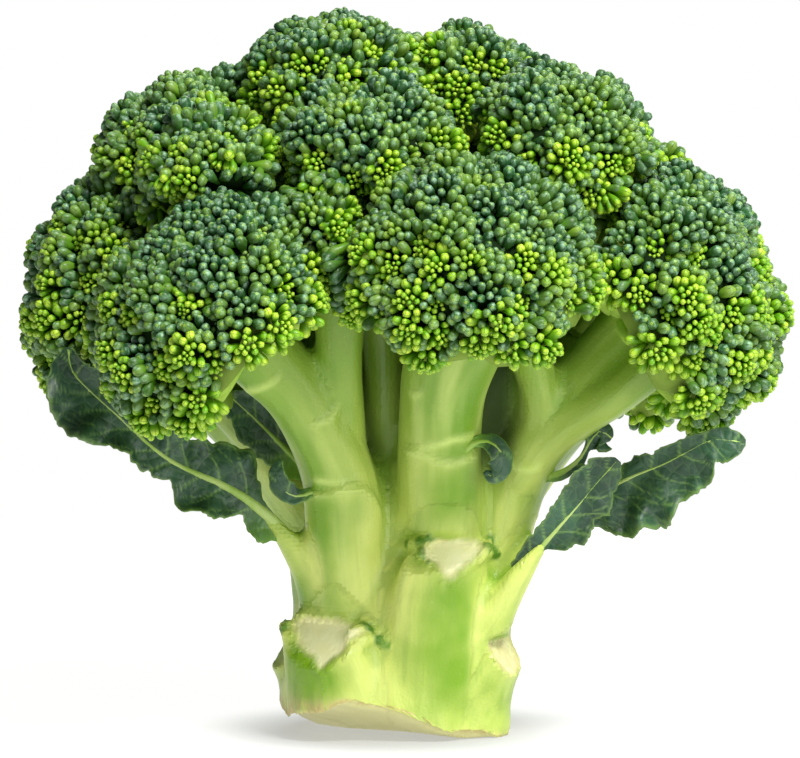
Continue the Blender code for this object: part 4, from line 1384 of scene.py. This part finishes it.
def dents(along, out, wide, shift, number):
    """Smooth chance values over a blade, in patches this long and wide."""
    rows = zip(along, out)
    return np.array([
        [noise.noise(Vector((place / wide[0], reach / wide[1] + shift, number))) for reach in row]
        for place, row in rows
    ])


def even_steps(midrib):
    """Points one step of the leaf's mesh apart along its midrib, and how far along it each one is."""
    curve = on_curve(midrib, 12)
    steps = np.linalg.norm(np.diff(curve, axis=0), axis=1)
    lengths = np.concatenate([[0], np.cumsum(steps)])
    length = lengths[-1]
    along = np.linspace(0, length, max(16, int(length / LEAF_FINENESS)))
    line = np.column_stack([np.interp(along, lengths, curve[:, axis]) for axis in range(3)])
    return line, along, length


def side_width(outline, along, share, side, number):
    """How wide one side of a blade is at each step along it, with its lobes and teeth."""
    width = np.interp(share, *np.array(outline).T)
    teeth = unevenness(along, TEETH_APART, side * 9.0, number)
    lobes = unevenness(along, LOBES_APART, side * 5.0, number)
    return width + np.clip(width, 0, 5) * (MARGIN_UNEVEN * teeth + MARGIN_UNEVEN * lobes)


def make_leaf(name, number, material):
    """A leaf as one thin closed sheet, with the stalk and midrib as a tapering stem on it."""
    midrib, faces, plus_side, minus_side, stalk_radii, ruffle, cup = LEAVES[name]
    line, along, length = even_steps(midrib)
    ways = directions(line)
    wide = unit(np.cross(ways, np.array(faces, float)))
    up = np.cross(wide, ways)
    share = along / length
    plus = side_width(plus_side, along, share, 1, number)
    minus = side_width(minus_side, along, share, -1, number)
    across = max(5, int((plus.max() + minus.max()) / 2 / LEAF_FINENESS))
    steps = np.arange(-across, across + 1) / across
    out = np.where(steps[None] > 0, steps[None] * plus[:, None], steps[None] * minus[:, None])
    run = np.broadcast_to(along[:, None], out.shape)
    wave = dents(along, out, (RUFFLE_SIZE, 9.0), 3.0, number * 3.1)
    pucker = dents(along, out, (PUCKER_SIZE, PUCKER_SIZE), 0.0, number * 7.7)
    veins = vein_shade(run, out, length, 50 + number)
    far = np.abs(out)
    height = cup * out**2 / 4 + ruffle * 2.2 * wave * np.clip(far / 6, 0, 1.4) ** 1.4
    height += PUCKER_DEPTH * pucker * np.clip(far / 2, 0, 1) - VEIN_DEPTH * veins
    middle = line[:, None] + wide[:, None] * out[:, :, None] + up[:, None] * height[:, :, None]
    lean_along = np.gradient(middle, axis=0)
    lean_out = np.gradient(middle, axis=1)
    normal = unit(np.cross(lean_out, lean_along))
    normal *= np.sign(np.sum(normal * up[:, None], axis=2, keepdims=True))
    thin = BLADE_THICKNESS * (0.55 + 0.45 * (1 - np.abs(steps)) ** 0.5)[None, :, None]
    top = middle + normal * thin / 2
    under = middle - normal * thin / 2
    ring = np.concatenate([top, under[:, ::-1]], axis=1)
    shape = bmesh.new()
    skin_rings(shape, list(ring))
    blade_points = len(shape.verts)
    thick, fine = stalk_radii
    radius = thick + (fine - thick) * smooth(-0.1, 0.85, share) ** 0.6
    stem = line[::3] + up[::3] * (0.10 - 0.35 * radius[::3, None])
    add_tube(shape, stem, radius[::3], 10, 1)
    piece = add_piece(f"{name}_blade", shape, material)

    def both(values, on_stem):
        """The same values on both faces of the blade, and one value on the stem."""
        doubled = np.concatenate([values, values[:, ::-1]], axis=1)
        blade = doubled.reshape(-1, *values.shape[2:])
        rest = len(piece.data.vertices) - blade_points
        return np.concatenate([blade, np.full((rest, *values.shape[2:]), on_stem)])

    margin = smooth(0.86, 1.0, np.abs(steps))[None] * np.ones(out.shape)
    foot = np.broadcast_to(smooth(0.45, 0.15, share)[:, None], out.shape)
    flat = np.stack([run, out, np.zeros(out.shape)], axis=2) / 1000
    give(piece.data, "vein", "FLOAT", both(veins, 0.0))
    give(piece.data, "margin", "FLOAT", both(margin, 0.0))
    give(piece.data, "foot", "FLOAT", both(foot, 1.0))
    give(piece.data, "flat", "FLOAT_VECTOR", both(flat, 0.0))
    give(piece.data, "rib", "FLOAT", both(np.zeros(out.shape), 1.0))
    return piece


leaf_material = dress("leaf_skin", leaf_skin)
for number, leaf in enumerate(LEAVES):
    piece = make_leaf(leaf, number, leaf_material)
    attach(piece, "root")
    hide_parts(leaf)


# ---------------------------------------------------------------------------------------------------
# The table, the light and the camera. The head stands on a white acrylic light table, whose glow is
# dimmed under its foot as a painted shadow, with a soft lamp above it in front, two weaker ones low in
# front and behind it, and white all round.
# ---------------------------------------------------------------------------------------------------

# Metres, apart from the glow of the table in its painted shadow under the foot and beside it
TABLE_SIDE = 0.9
MASK_EDGE = (0.020, 0.046)
MASKED_GLOW = 0.42
TABLE_GLOW = 0.89
TABLE_WHITES = ((0.25, 0.25, 0.24, 1), (0.27, 0.27, 0.26, 1))
LOOKS_AT = Vector((0.0008, 0.0, 0.0740))
CAMERA_AWAY = 1.0
CAMERA_ABOVE = math.radians(4.0)
VIEW_WIDTH = 0.1678
SENSOR = 36.0
# Each lamp's place, the side of its square, and its power in watts
LAMPS = {
    "key": ((0.42, -0.70, 1.12), 0.38, 24.0),
    "fill": ((0.75, -1.00, 0.22), 0.6, 5.0),
    "back": ((0.25, 0.9, 0.8), 0.8, 6.0),
}
ROOM_LIGHT = 0.12

table = bmesh.new()
bmesh.ops.create_grid(table, x_segments=8, y_segments=8, size=TABLE_SIDE * 500)


def table_top(put):
    """White acrylic lit from below, its glow dimmed under the foot of what stands on it as a painted
    shadow.
    """
    _, blend, _, _, speckle = mixing(put)
    place = put("TexCoord").outputs["Object"]
    away = put("VectorMath", {0: place}, operation="LENGTH").outputs["Value"]
    # Painted shadow: the table's glow falls off towards the foot
    masked = {
        "Value": away,
        "From Min": MASK_EDGE[0],
        "From Max": MASK_EDGE[1],
        "To Min": MASKED_GLOW,
        "To Max": TABLE_GLOW,
    }
    glow = put("MapRange", masked, interpolation_type="SMOOTHSTEP").outputs["Result"]
    return {
        "Base Color": blend(speckle(place, 300.0, 3.0), *TABLE_WHITES),
        "Roughness": 0.9,
        "Specular IOR Level": 0.1,
        "Emission Color": (1, 1, 1, 1),
        "Emission Strength": glow,
    }


floor = add_piece("table_top", table, dress("table_top", table_top))


for name, (place, size, power) in LAMPS.items():
    lamp = bpy.data.lights.new(name, "AREA")
    lamp.size = size
    lamp.energy = power
    stand = bpy.data.objects.new(name, lamp)
    stand.location = place
    stand.rotation_euler = (LOOKS_AT - Vector(place)).to_track_quat("-Z", "Y").to_euler()
    bpy.context.scene.collection.objects.link(stand)

# The room: white to look at, and dimmer as a light, so that the clefts stay dark
sky = bpy.data.worlds.new("studio")
sky.use_nodes = True
laid = sky.node_tree
seen = laid.nodes.new("ShaderNodeLightPath").outputs["Is Camera Ray"]
glow = laid.nodes.new("ShaderNodeMapRange")
glow.inputs["To Min"].default_value = ROOM_LIGHT
glow.inputs["To Max"].default_value = 1.0
laid.links.new(seen, glow.inputs["Value"])
laid.links.new(glow.outputs["Result"], laid.nodes["Background"].inputs["Strength"])
laid.nodes["Background"].inputs["Color"].default_value = (1, 1, 1, 1)
bpy.context.scene.world = sky
bpy.context.scene.view_settings.view_transform = "Standard"

lens = bpy.data.cameras.new("camera")
lens.sensor_width = SENSOR
lens.lens = SENSOR * CAMERA_AWAY / VIEW_WIDTH
lens.clip_start = 0.05
camera = bpy.data.objects.new("camera", lens)
back_off = Vector((0.0, -math.cos(CAMERA_ABOVE), math.sin(CAMERA_ABOVE)))
camera.location = LOOKS_AT + back_off * CAMERA_AWAY
camera.rotation_euler = (LOOKS_AT - camera.location).to_track_quat("-Z", "Y").to_euler()
bpy.context.scene.collection.objects.link(camera)
bpy.context.scene.camera = camera
